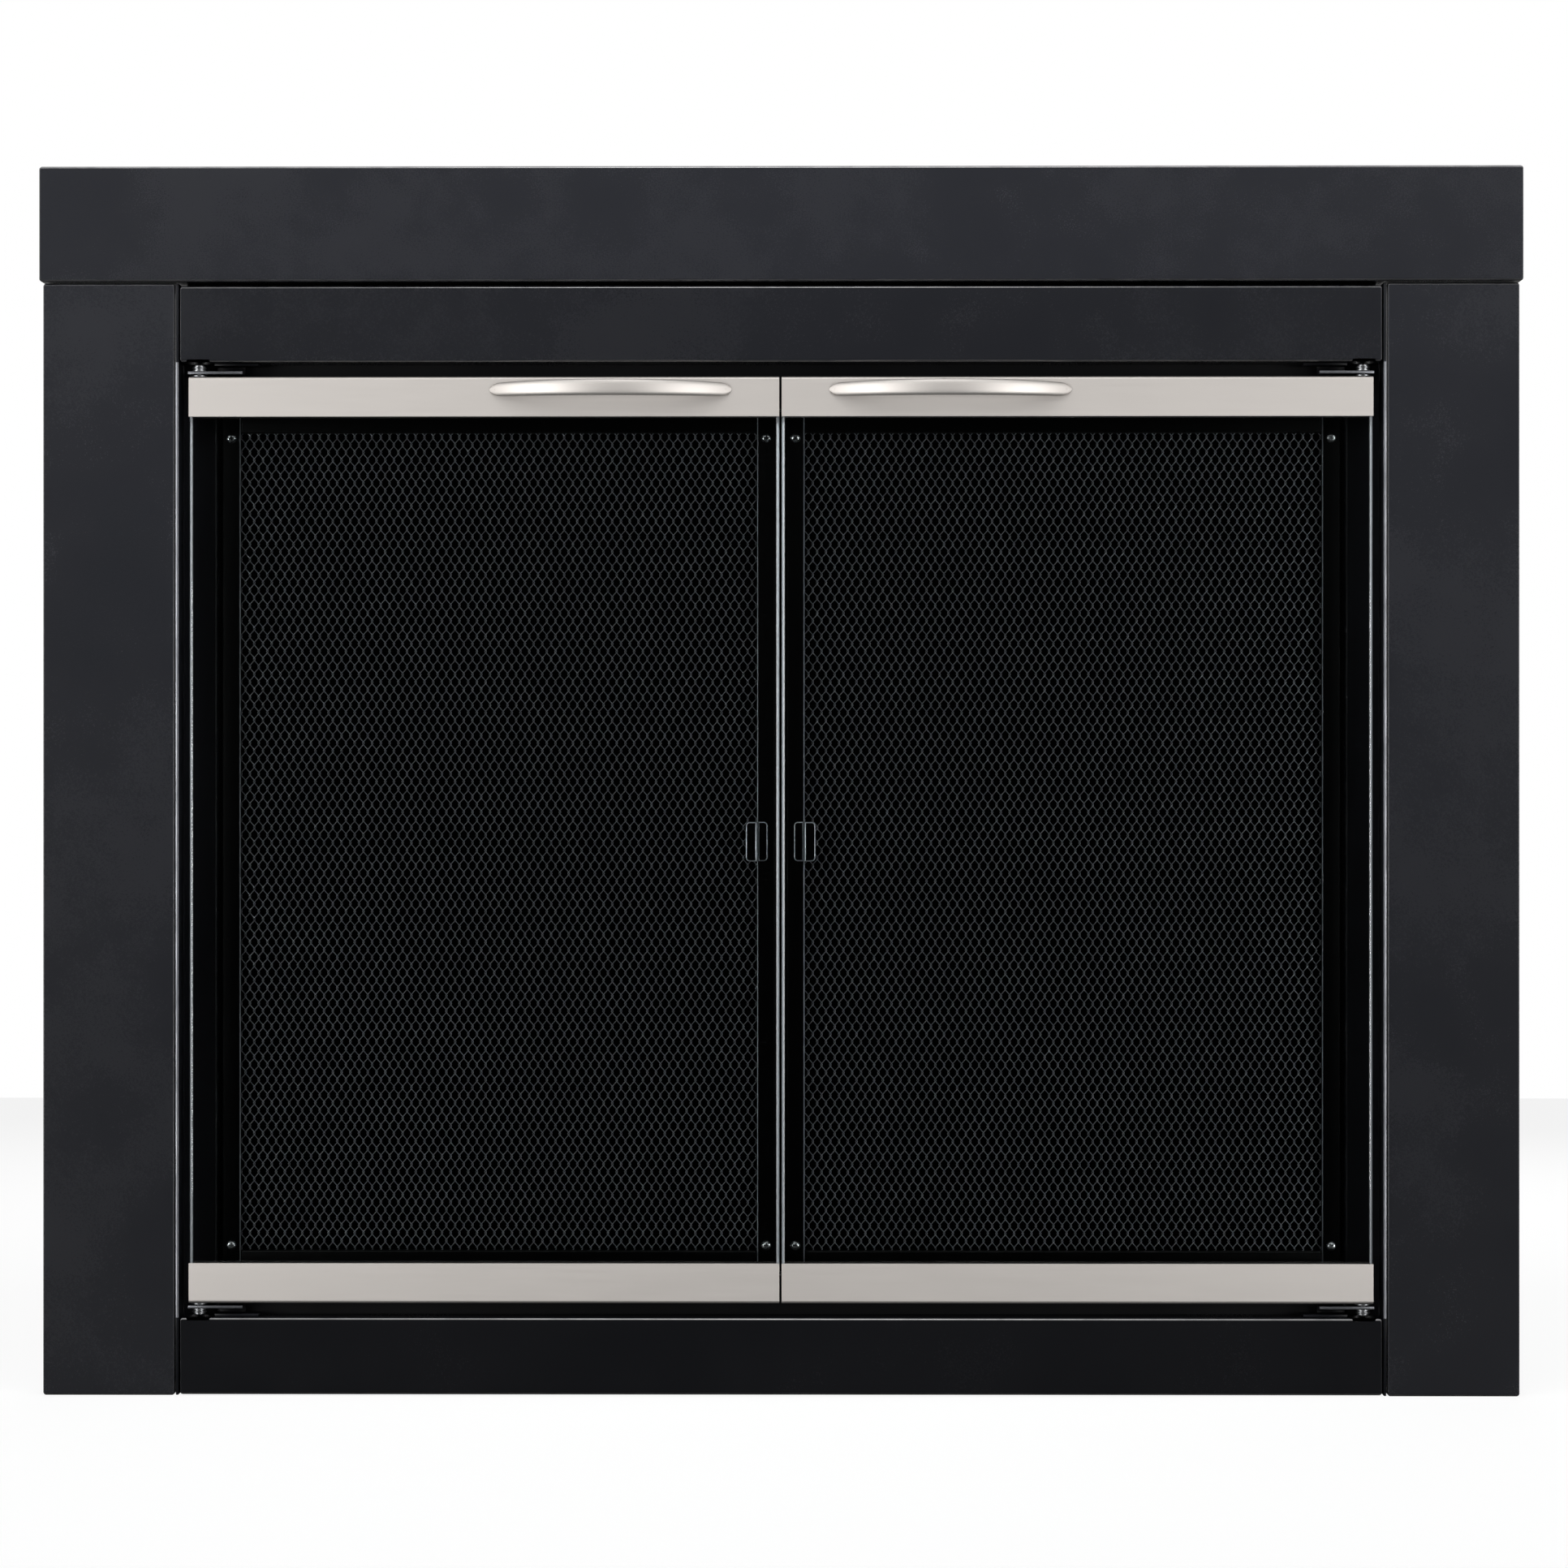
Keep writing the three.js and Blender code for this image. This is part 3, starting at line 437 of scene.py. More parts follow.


# Painted shade: the upper and lower rails are darker, less shiny copies of the black coat of the
# header and stiles, the lower rail darkest.
COAT = powder_coat("powder_coat_black", 0.020, 0.27, 0.50)
UPPER_COAT = powder_coat("powder_coat_upper_rail", 0.014, 0.27, 0.42)
LOWER_COAT = powder_coat("powder_coat_lower_rail", 0.0085, 0.25, 0.26)
JAMB_COAT = powder_coat("powder_coat_jambs", 0.012, 0.30, 0.15, 0.2)
# Painted shade: the gate paint is darkened far below black paint, with little shine, for the shade
# on the gates inside the door.
PAINT = powder_coat("charcoal_paint_heatproof", 0.0014, 0.32, 0.06, 0.1)
CHANNEL_PAINT = powder_coat("charcoal_paint_channels", 0.009, 0.34, 0.25, 0.2)
# Light edge colours on thin edges: painted highlights, partly steel rubbed bare; the clip's is
# painted highlight alone.
BARE_AND_HIGHLIT_EDGE = bare_and_highlit_edge("channel_edge_rubbed", 0.17)
LEAF_EDGE = bare_and_highlit_edge("bracket_edge_rubbed", 0.09)
WORN_AND_HIGHLIT_EDGE = bare_and_highlit_edge("gate_edge_rubbed", 0.48)
CLIP_EDGE = bare_and_highlit_edge("clip_edge_rubbed", 0.58)
RAIL_NICKEL = satin_nickel("satin_nickel_rails", 0.58)
# Painted shade: the handles are a darker copy of the rails' nickel.
HANDLE_NICKEL = satin_nickel("satin_nickel_handles", 0.53)
ZINC = zinc_plate("zinc_plate_bright", 0.34, 0.36)
PIVOT_ZINC = zinc_plate("zinc_plate_smoked", 0.17, 0.34)
SCREW_ZINC = zinc_plate("zinc_plate_screws", 0.45, 0.13)
WIRE_PAINT = gate_wire()
RUBBER = rubber()
GLASS = clear_glass()
GLASS_EDGE = ground_edge()


# ============================================================ mesh code


def evaluated(piece):
    """The piece's mesh with its modifiers applied, which are then removed."""
    graph = bpy.context.evaluated_depsgraph_get()
    graph.update()
    mesh = bpy.data.meshes.new_from_object(
        piece.evaluated_get(graph), preserve_all_data_layers=True, depsgraph=graph)
    piece.modifiers.clear()
    piece.data = mesh
    return piece


def linked(name, data):
    """A new object of the data, in the scene."""
    made = bpy.data.objects.new(name, data)
    bpy.context.scene.collection.objects.link(made)
    return made


def mesh_of(name, bm):
    mesh = bpy.data.meshes.new(name)
    bm.to_mesh(mesh)
    bm.free()
    return mesh


def object_of(name, bm):
    """An object of the bmesh, whose faces are turned outward."""
    bmesh.ops.recalc_face_normals(bm, faces=bm.faces)
    return linked(name, mesh_of(name, bm))


def bent_outline(path, thickness=SHEET, inner=0.6, steps=4):
    """The closed outline of a sheet of even thickness bent along a path of (u, v) points."""
    points = [Vector(point) for point in path]
    middle = inner + thickness / 2
    near, far = [], []

    def add(centre, normal):
        near.append(centre - normal * thickness / 2)
        far.append(centre + normal * thickness / 2)

    def left_of(direction):
        return Vector((-direction.y, direction.x))

    add(points[0], left_of((points[1] - points[0]).normalized()))
    for before, corner, after in zip(points, points[1:], points[2:]):
        into = (corner - before).normalized()
        out = (after - corner).normalized()
        turn = math.atan2(into.cross(out), into.dot(out))
        way = 1 if turn > 0 else -1
        reach = middle * math.tan(abs(turn) / 2)
        centre = corner - into * reach + left_of(into) * way * middle
        for step in range(steps + 1):
            normal = Matrix.Rotation(turn * step / steps, 2) @ left_of(into)
            add(centre - normal * way * middle, normal)
    add(points[-1], left_of((points[-1] - points[-2]).normalized()))
    return near + far[::-1]


def rounded(u0, v0, u1, v1, radius, steps=5):
    """The outline of a rectangle with rounded corners."""
    outline = []
    corners = ((u1, v0, -90), (u1, v1, 0), (u0, v1, 90), (u0, v0, 180))
    for u, v, start in corners:
        cu = u - radius if u == u1 else u + radius
        cv = v - radius if v == v1 else v + radius
        for step in range(steps + 1):
            angle = math.radians(start + 90 * step / steps)
            outline.append((cu + radius * math.cos(angle), cv + radius * math.sin(angle)))
    return outline


def quarter_turn(steps):
    """The sine and cosine at even steps from 0 to 90 degrees."""
    angles = [math.radians(90 * step / steps) for step in range(steps + 1)]
    return [(math.sin(angle), math.cos(angle)) for angle in angles]


def ring_at(outline, inset, level, sideways=1.0):
    """The outline drawn in by inset, and its upright sides by inset times sideways."""
    x0, z0, x1, z1, radius = outline
    corner = max(radius - inset, 0.15)
    across = inset * sideways
    return [
        (x, level, z)
        for x, z in rounded(x0 + across, z0 + inset, x1 - across, z1 - inset, corner)]


def shell_of(name, rings):
    """A solid whose sides join rings of equally many points, with both ends closed."""
    bm = bmesh.new()
    rings = [[bm.verts.new(point) for point in ring] for ring in rings]
    for first, second in zip(rings, rings[1:]):
        for index in range(len(first)):
            after = (index + 1) % len(first)
            bm.faces.new((first[index], first[after], second[after], second[index]))
    bm.faces.new(rings[0])
    bm.faces.new(rings[-1])
    return object_of(name, bm)


def on_axis(axis, u, v, level):
    return {"x": (level, u, v), "y": (u, level, v), "z": (u, v, level)}[axis]


def prism(name, outline, axis, start, stop):
    """A closed bar of one outline; (u, v) is (y, z) along x, (x, z) along y, (x, y) along z."""
    return shell_of(name, [
        [on_axis(axis, u, v, level) for u, v in outline] for level in (start, stop)])


def turned(name, profile, centre, axis="z", facets=24):
    """A turned solid with flat ends, from (radius, level) pairs along its axis."""
    u, v = centre
    angles = [2 * math.pi * (step + 0.5) / facets for step in range(facets)]
    return shell_of(name, [
        [on_axis(axis, u + radius * math.cos(angle), v + radius * math.sin(angle), level)
         for angle in angles]
        for radius, level in profile])


def joined(first, *others):
    """One object of several, in one mesh."""
    bm = bmesh.new()
    for each in (first, *others):
        bm.from_mesh(each.data)
    for each in others:
        bpy.data.objects.remove(each)
    bm.to_mesh(first.data)
    bm.free()
    return first


def cut(piece, *tools, operation="DIFFERENCE"):
    """Takes each tool out of the piece, or keeps what the two share."""
    for tool in tools:
        modifier = piece.modifiers.new("cut", "BOOLEAN")
        modifier.operation = operation
        modifier.solver = "EXACT"
        modifier.object = tool
    evaluated(piece)
    for tool in tools:
        bpy.data.objects.remove(tool)
    return piece


def block(x0, x1, y0, y1, z0, z1):
    return prism("block", [(x0, y0), (x1, y0), (x1, y1), (x0, y1)], "z", z0, z1)


def softened(piece, width=0.3, segments=2, limit=32):
    """Rounds the sharp edges, so that they catch the light."""
    bevel = piece.modifiers.new("bevel", "BEVEL")
    bevel.width = width
    bevel.segments = segments
    bevel.limit_method = "ANGLE"
    bevel.angle_limit = math.radians(limit)
    bevel.harden_normals = False
    evaluated(piece)
    return smoothed(piece)


def smoothed(piece, sharp=40):
    """Shades across all edges but the sharp ones."""
    piece.data.polygons.foreach_set("use_smooth", [True] * len(piece.data.polygons))
    piece.data.set_sharp_from_angle(angle=math.radians(sharp))
    return piece


def sliced(piece, axis, *levels):
    """Adds an edge loop at each level along an axis, so that finishes can change there."""
    along = Vector(on_axis(axis, 0, 0, 1))
    bm = bmesh.new()
    bm.from_mesh(piece.data)
    for level in levels:
        bmesh.ops.bisect_plane(
            bm, geom=bm.verts[:] + bm.edges[:] + bm.faces[:],
            plane_co=along * level, plane_no=along)
    bm.to_mesh(piece.data)
    bm.free()
    return piece


def is_flat(face):
    """Whether a face looks straight along an axis."""
    return max(abs(part) for part in face.normal) > 0.985


def mark_edges(mesh):
    """Writes the edge attribute: 1 on level bends, less on upright ones, 0 on flats. The weighting
    paints the bend highlight where light from above falls, on the level bends.
    """
    marks = mesh.attributes.new("edge", "FLOAT", "FACE")
    values = []
    for face in mesh.polygons:
        if is_flat(face):
            values.append(0.0)
        else:
            values.append(1.0 if abs(face.normal.z) > abs(face.normal.x) else UPRIGHT_RUB_AND_HIGHLIGHT)
    marks.data.foreach_set("value", values)


def seated(piece, side=1, end=None):
    """Carries a piece from its layout in millimetres to its place in metres.

    side mirrors it to the left, and end gives (level of z = 0, direction)."""
    level, way = end or (0, 1)
    place = Matrix.Translation((0, FRONT, level * MM)) @ Matrix.Diagonal(
        (side * MM, MM, way * MM, 1))
    piece.data.transform(place)
    if side * way < 0:
        piece.data.flip_normals()
    return piece


def dressed(piece, name, body, *materials, replaces=()):
    """Names a finished piece, gives it its finish and hands it to the frame."""
    piece.name = name
    if len(materials) == 1:
        weighted = piece.modifiers.new("normals", "WEIGHTED_NORMAL")
        weighted.keep_sharp = True
        evaluated(piece)
    piece.data.name = name
    mark_edges(piece.data)
    finish_of = [face.material_index for face in piece.data.polygons]
    piece.data.materials.clear()
    for material in materials:
        piece.data.materials.append(material)
    if len(materials) > 1:
        piece.data.polygons.foreach_set("material_index", finish_of)
    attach(piece, body)
    if replaces:
        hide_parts(*replaces)
    return piece


def cad_copy(node):
    """A merged copy of a CAD node's mesh in millimetres, with its flat faces whole."""
    bm = bmesh.new()
    bm.from_mesh(frame["nodes"][node].data)
    bmesh.ops.transform(
        bm, matrix=Matrix.Diagonal((1 / MM, 1 / MM, 1 / MM, 1)) @ Matrix.Translation(
            (0, -FRONT, 0)), verts=bm.verts)
    bmesh.ops.remove_doubles(bm, verts=bm.verts, dist=0.002)
    bmesh.ops.dissolve_limit(
        bm, angle_limit=math.radians(1), verts=bm.verts, edges=bm.edges)
    return object_of(node + "_copy", bm)


def body_of(node):
    return frame["nodes"][node]["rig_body"]


# ============================================================= patterns


class Pattern(Graph):
    """A Geometry Nodes tree with named inputs."""

    def __init__(self, name):
        super().__init__(bpy.data.node_groups.new(name, "GeometryNodeTree"))
        self.sockets = {}
        self.input("Geometry", "NodeSocketGeometry")
        self.tree.interface.new_socket(
            "Geometry", in_out="OUTPUT", socket_type="NodeSocketGeometry")
        self.start = self.tree.nodes.new("NodeGroupInput")

    def input(self, name, kind):
        made = self.tree.interface.new_socket(name, in_out="INPUT", socket_type=kind)
        self.sockets[name] = made.identifier

    def given(self, name):
        return Field(self, self.start.outputs[name])

    def finish(self, geometry):
        real = self.node("GeometryNodeRealizeInstances", None, {0: geometry})
        smooth = self.node(
            "GeometryNodeSetShadeSmooth", None, {"Geometry": real, "Shade Smooth": True})
        painted = self.node(
            "GeometryNodeSetMaterial", None,
            {"Geometry": smooth, "Material": self.given("Material")})
        self.node("NodeGroupOutput", None, {0: painted})

    def grown(self, seed, **values):
        """The plain mesh that the tree makes of the seed object with these inputs."""
        modifier = seed.modifiers.new("pattern", "NODES")
        modifier.node_group = self.tree
        for name, value in values.items():
            modifier[self.sockets[name.replace("_", " ")]] = value
        return evaluated(seed)


def woven_screen():
    """Upright flattened coils, each hooked into the next: front legs rise to the right."""
    tree = Pattern("woven screen")
    for name, kind in (
            ("Coils", "NodeSocketInt"), ("Turns", "NodeSocketInt"),
            ("Coil Width", "NodeSocketFloat"), ("Rise", "NodeSocketFloat"),
            ("Depth", "NodeSocketFloat"), ("Hook", "NodeSocketFloat"),
            ("Wire", "NodeSocketFloat"), ("Corner", "NodeSocketVector"),
            ("Material", "NodeSocketMaterial")):
        tree.input(name, kind)
    index = tree.node("GeometryNodeInputIndex")
    quarter = index % 4
    right = (quarter > 0.5) * (quarter < 2.5)
    back = quarter > 1.5
    bend = 1 - 2 * (index % 2)
    half = tree.node("ShaderNodeMath", {"operation": "FLOOR"}, {0: (index + 1) / 2})
    hook = tree.given("Hook")
    place = tree.node("ShaderNodeCombineXYZ", None, {
        "X": right * (tree.given("Coil Width") + 2 * hook) - hook,
        "Y": (back - 0.5) * tree.given("Depth"),
        "Z": half * tree.given("Rise") / 2 + bend * hook * 0.8})
    points = tree.node("GeometryNodeMeshLine", None, {"Count": tree.given("Turns") * 4 + 1})
    placed = tree.node("GeometryNodeSetPosition", None, {"Geometry": points, "Position": place})
    path = tree.node("GeometryNodeMeshToCurve", None, {"Mesh": placed})
    section = tree.node(
        "GeometryNodeCurvePrimitiveCircle", None,
        {"Resolution": 4, "Radius": tree.given("Wire") / 2})
    coil = tree.node(
        "GeometryNodeCurveToMesh", None,
        {"Curve": path, "Profile Curve": section, "Fill Caps": True})
    feet = tree.node("GeometryNodeMeshLine", None, {"Count": tree.given("Coils")})
    number = tree.node("GeometryNodeInputIndex")
    foot = tree.node("ShaderNodeCombineXYZ", None, {
        "X": number * tree.given("Coil Width"),
        "Z": (number % 2) * tree.given("Rise") / 2})
    corner = tree.node(
        "ShaderNodeVectorMath", {"operation": "ADD"}, {0: foot, 1: tree.given("Corner")})
    stood = tree.node("GeometryNodeSetPosition", None, {"Geometry": feet, "Position": corner})
    coils = tree.node("GeometryNodeInstanceOnPoints", None, {"Points": stood, "Instance": coil})
    tree.finish(coils)
    return tree


def fastener_set():
    """One fastener at each point of the seed, along the point's own axis."""
    tree = Pattern("fastener set")
    for name, kind in (
            ("Fastener", "NodeSocketObject"), ("Seed", "NodeSocketInt"),
            ("Material", "NodeSocketMaterial")):
        tree.input(name, kind)
    shape = tree.node(
        "GeometryNodeObjectInfo", None, {"Object": tree.given("Fastener")}, output="Geometry")
    axis = tree.node(
        "GeometryNodeInputNamedAttribute", {"data_type": "FLOAT_VECTOR"}, {"Name": "axis"})
    spin = tree.node(
        "FunctionNodeRandomValue", {"data_type": "FLOAT"},
        {"Min": 0.0, "Max": 2 * math.pi, "Seed": tree.given("Seed")}, output=1)
    aligned = tree.node(
        "FunctionNodeAlignRotationToVector", {"axis": "Z"}, {"Vector": axis})
    own = tree.node(
        "FunctionNodeAxisAngleToRotation", None, {"Axis": (0, 0, 1), "Angle": spin})
    turn = tree.node(
        "FunctionNodeRotateRotation", {"rotation_space": "LOCAL"},
        {"Rotation": aligned, "Rotate By": own})
    set_out = tree.node(
        "GeometryNodeInstanceOnPoints", None,
        {"Points": tree.given("Geometry"), "Instance": shape, "Rotation": turn})
    tree.finish(set_out)
    return tree


SCREEN_TREE = woven_screen()
FASTENER_TREE = fastener_set()


def pan_head(radius, height, recess):
    """A pan-head screw with a cross recess, standing on z = 0 in millimetres."""
    profile = [(radius * 0.96, -0.4), (radius, 0.0)]
    for angle in (0, 18, 36, 54, 72):
        turn = math.radians(angle)
        profile.append((radius * math.cos(turn), height * (0.22 + 0.78 * math.sin(turn))))
    head = turned("pan_head", profile, (0, 0), facets=16)
    wide, deep = recess, height * 0.62
    cross = [block(-wide, wide, -wide / 4, wide / 4, height - deep, height + 1),
             block(-wide / 4, wide / 4, -wide, wide, height - deep, height + 1)]
    return cut(head, *cross)


def fasteners(name, head, spots, body, material, seed):
    """Sets heads at (point, axis) spots, given in millimetres in the layout."""
    bm = bmesh.new()
    layer = bm.verts.layers.float_vector.new("axis")
    for point, axis in spots:
        bm.verts.new(point)[layer] = Vector(axis)
    made = linked(name, mesh_of(name, bm))
    FASTENER_TREE.grown(made, Fastener=head, Seed=seed, Material=material)
    smoothed(made, 50)
    return dressed(seated(made), name, body, material)


# ============================================================= surround


def bent_pan(name, x0, x1, z0, z1, front, back):
    """A front face with bent edges and four returns, open behind, in closed sheet."""
    outline = (x0, z0, x1, z1, PANEL_CORNER)
    rings = [
        ring_at(
            outline, PANEL_BEND * (1 - sine), front + PANEL_BEND * (1 - cosine), UPRIGHT_BEND)
        for sine, cosine in quarter_turn(5)]
    for inset, level in (
            (0, back - PANEL_RIM), (PANEL_RIM, back), (SHEET - PANEL_RIM, back),
            (SHEET, back - PANEL_RIM), (SHEET, front + SHEET + 2 * PANEL_RIM),
            (SHEET + 2 * PANEL_RIM, front + SHEET)):
        rings.append(ring_at(outline, inset, level))
    return shell_of(name, rings)


def notch_tools(low, high):
    x, y = PIVOT
    return [
        turned("notch", [(NOTCH_RADIUS, low), (NOTCH_RADIUS, high)], (side * x, y), facets=40)
        for side in SIDES.values()]


def make_surround():
    header = bent_pan(
        "header", -HEADER_HALF, HEADER_HALF, HEADER_BOTTOM, HEADER_TOP, HEADER_FRONT, PAN_BACK)
    dressed(
        seated(smoothed(header)), "header", "surround", COAT, replaces=["header_panel"])
    upper = bent_pan("upper_rail", -RAIL_HALF, RAIL_HALF, *UPPER_RAIL, 0, RAIL_BACK)
    cut(upper, *notch_tools(UPPER_RAIL[0] - 1, UPPER_RAIL[0] + NOTCH_DEPTH))
    dressed(
        seated(smoothed(upper)), "upper_rail", "surround", UPPER_COAT,
        replaces=["upper_rail_panel"])
    lower = bent_pan("lower_rail", -RAIL_HALF, RAIL_HALF, *LOWER_RAIL, 0, RAIL_BACK)
    cut(lower, *notch_tools(LOWER_RAIL[1] - NOTCH_DEPTH, LOWER_RAIL[1] + 1))
    dressed(
        seated(smoothed(lower)), "lower_rail", "surround", LOWER_COAT,
        replaces=["lower_rail_panel"])
    for side_name, side in SIDES.items():
        node = side_name + "_stile_panel"
        stile = bent_pan("stile", STILE_INNER, STILE_OUTER, 0, STILE_TOP, 0, PAN_BACK)
        cut(stile, block(
            STILE_INNER - 1, STILE_INNER + 2 * SHEET, 10, PAN_BACK + 1,
            SHEET, STILE_TOP - SHEET))
        dressed(
            seated(smoothed(stile), side), side_name + "_stile", "surround", COAT, replaces=[node])


def pin_holes(low, high):
    return [
        turned(
            "pin_hole", [(PIN_HOLE_RADIUS, low), (PIN_HOLE_RADIUS, high)],
            (side * GATE_PIN[0], GATE_PIN[1]), facets=16)
        for side in SIDES.values()]


def make_channels():
    half = SHEET / 2
    front = CHANNEL_FRONT + half
    head_low, head_high = HEAD_CHANNEL
    for side_name, side in SIDES.items():
        node = side_name + "_jamb_channel"
        path = [
            (JAMB_WEB + half, 0.0), (JAMB_WEB + half, front),
            (JAMB_STEP + half, front), (JAMB_STEP + half, PAN_BACK)]
        jamb = prism("jamb", bent_outline(path, SHEET, CHANNEL_BEND), "z", SEAT_GAP, STILE_TOP)
        softened(jamb, 0.3)
        # painted highlight, partly bare steel: the jamb's front edge between the rails gets the
        # light edge colour; beside the rails it keeps the coat
        sliced(jamb, "z", LOWER_RAIL[1], UPPER_RAIL[0])
        for face in jamb.data.polygons:
            beside = LOWER_RAIL[1] < face.center.z < UPPER_RAIL[0]
            face.material_index = 1 if beside and face.center.y < JAMB_LIGHT_EDGE_DEPTH else 0
        dressed(
            seated(jamb, side), side_name + "_jamb", "surround", JAMB_COAT, BARE_AND_HIGHLIT_EDGE,
            replaces=[node])
    head_path = [
        (PAN_BACK, head_low + half), (front, head_low + half),
        (front, head_high - half), (PAN_BACK, head_high - half)]
    head = prism(
        "head", bent_outline(head_path, SHEET, CHANNEL_BEND), "x", -CHANNEL_HALF, CHANNEL_HALF)
    cut(head, *pin_holes(head_low - 1.5, head_low + 2.5))
    dressed(
        seated(softened(head)), "head", "surround", CHANNEL_PAINT, replaces=["head_channel"])
    sill_path = [(front, SEAT_GAP), (front, SILL_TOP - half), (PAN_BACK, SILL_TOP - half)]
    sill = prism(
        "sill", bent_outline(sill_path, SHEET, CHANNEL_BEND), "x", -CHANNEL_HALF, CHANNEL_HALF)
    cut(sill, *pin_holes(SILL_TOP - 2.5, SILL_TOP + 1.5))
    dressed(
        seated(softened(sill)), "sill", "surround", CHANNEL_PAINT, replaces=["sill_channel"])


# ================================================== pivots and glass doors


ENDS = {"upper": (UPPER_RAIL[0], -1), "lower": (LOWER_RAIL[1], 1)}


def pivot_bore(low, high):
    return turned("bore", [(PIVOT_BORE, low), (PIVOT_BORE, high)], PIVOT, facets=24)


def pivot_bracket():
    """A C of two leaves: the base leaf lies on the rail panel, the other holds the door."""
    half = SHEET / 2
    inner, outer = BRACKET_X
    base, door = SEAT_GAP + half, BRACKET_HEIGHT - half
    back, past = BRACKET_BACK - half, BRACKET_BACK + 1
    path = [(BASE_LEAF_FRONT, base), (back, base), (back, door), (DOOR_LEAF_FRONT, door)]
    bracket = prism("bracket", bent_outline(path, SHEET, CHANNEL_BEND), "x", inner, outer)
    softened(cut(
        bracket,
        block(BASE_LEAF_END, outer + 1, 0, past, -1, BRACKET_HEIGHT - SHEET),
        block(inner - 1, DOOR_LEAF_END, 0, past, SEAT_GAP + SHEET, BRACKET_HEIGHT + 1),
        pivot_bore(5, 8)), 0.25)
    # painted highlight and shade: only the front leaf's edge gets the light edge colour; the base
    # leaf's edge, set back, keeps the dark coat
    for face in bracket.data.polygons:
        face.material_index = 1 if face.center.y < LEAF_LIGHT_EDGE_DEPTH else 0
    return bracket


def pivot_screw():
    """A threaded pivot with a ribbed collar nut."""
    thread = [(1.9, 1.0), (2.35, 1.35)]
    level = 1.35
    while level < 20.4:
        thread += [
            (2.5, level + 0.12), (2.5, level + 0.26), (2.12, level + 0.46), (2.12, level + 0.54)]
        level += 0.8
    thread += [(2.3, 20.5), (1.7, 20.8)]
    screw = turned("screw", thread, PIVOT, facets=18)
    nut = turned("nut", [
        (3.5, 1.7), (3.8, 1.9), (3.8, 2.5), (4.35, 2.7), (4.6, 2.95), (4.6, 3.5), (4.35, 3.75),
        (3.9, 3.9), (3.9, 4.5), (4.4, 4.7), (4.4, 5.3), (4.1, 5.5)], PIVOT, facets=36)
    bore = turned("nut_bore", [(2.6, 1), (2.6, 6)], PIVOT, facets=18)
    return smoothed(joined(screw, cut(nut, bore)), 35)


def pivot_washer():
    ring = turned(
        "washer", [(4.75, 8.0), (5.0, 8.2), (5.0, 8.8), (4.75, 9.0)], PIVOT, facets=32)
    return smoothed(cut(ring, pivot_bore(7, 10)))


def door_rail(studs):
    half = NICKEL / 2
    front, back = DOOR_DEPTH
    mouth = RAIL_LEVEL + RAIL_HEIGHT
    path = [
        (front + half, mouth), (front + half, RAIL_LEVEL + half),
        (back - half, RAIL_LEVEL + half), (back - half, mouth)]
    rail = prism("rail", bent_outline(path, NICKEL, NICKEL / 5, 6), "x", *DOOR_SPAN)
    holes = [pivot_bore(RAIL_LEVEL - 1, RAIL_LEVEL + NICKEL + 1)]
    if studs:
        for x in STUDS_X:
            holes.append(turned(
                "stud_hole", [(2.3, 0), (2.3, 3)], (x, UPPER_RAIL[0] - HANDLE_LEVEL), "y", 16))
    return softened(cut(rail, *holes), 0.22)


def pivot_block():
    wall = NICKEL + SEAT_GAP / 2
    inner, outer = PIVOT_BLOCK_X
    outline = rounded(inner, DOOR_DEPTH[0] + wall, outer, DOOR_DEPTH[1] - wall, 1.2)
    base = RAIL_LEVEL + NICKEL + SEAT_GAP
    top = base + PIVOT_BLOCK_HEIGHT
    made = prism("pivot_block", outline, "z", base, top)
    return softened(cut(made, pivot_bore(base - 1, top + 1)), 0.4)


def glass_pane(side):
    """A pane whose upright edges are ground to a full round."""
    x0, x1 = DOOR_SPAN
    front, back = GLASS_DEPTH
    outline = (x0, GLASS_Z[0], x1, GLASS_Z[1], GLASS_CORNER)
    arc = [
        (GLASS_ROUND * (1 - sine), GLASS_ROUND * (1 - cosine))
        for sine, cosine in quarter_turn(6)]
    pane = shell_of(
        "glass",
        [ring_at(outline, inset, front + depth) for inset, depth in arc]
        + [ring_at(outline, inset, back - depth) for depth, inset in arc])
    for face in pane.data.polygons:
        face.material_index = 1 if abs(face.normal.y) < 0.94 else 0
        face.use_smooth = len(face.vertices) == 4
    for edge in pane.data.edges:
        edge.use_edge_sharp = False
    return seated(pane, side)


def handle_point(half_chord, rise, share):
    """A point on one of the bow's two plan arcs, at share -1 to 1 along it."""
    radius = (half_chord ** 2 + rise ** 2) / (2 * rise)
    angle = math.asin(half_chord / radius) * share
    return Vector((
        HANDLE_MIDDLE + radius * math.sin(angle),
        HANDLE_FACE - rise + radius * (1 - math.cos(angle))))


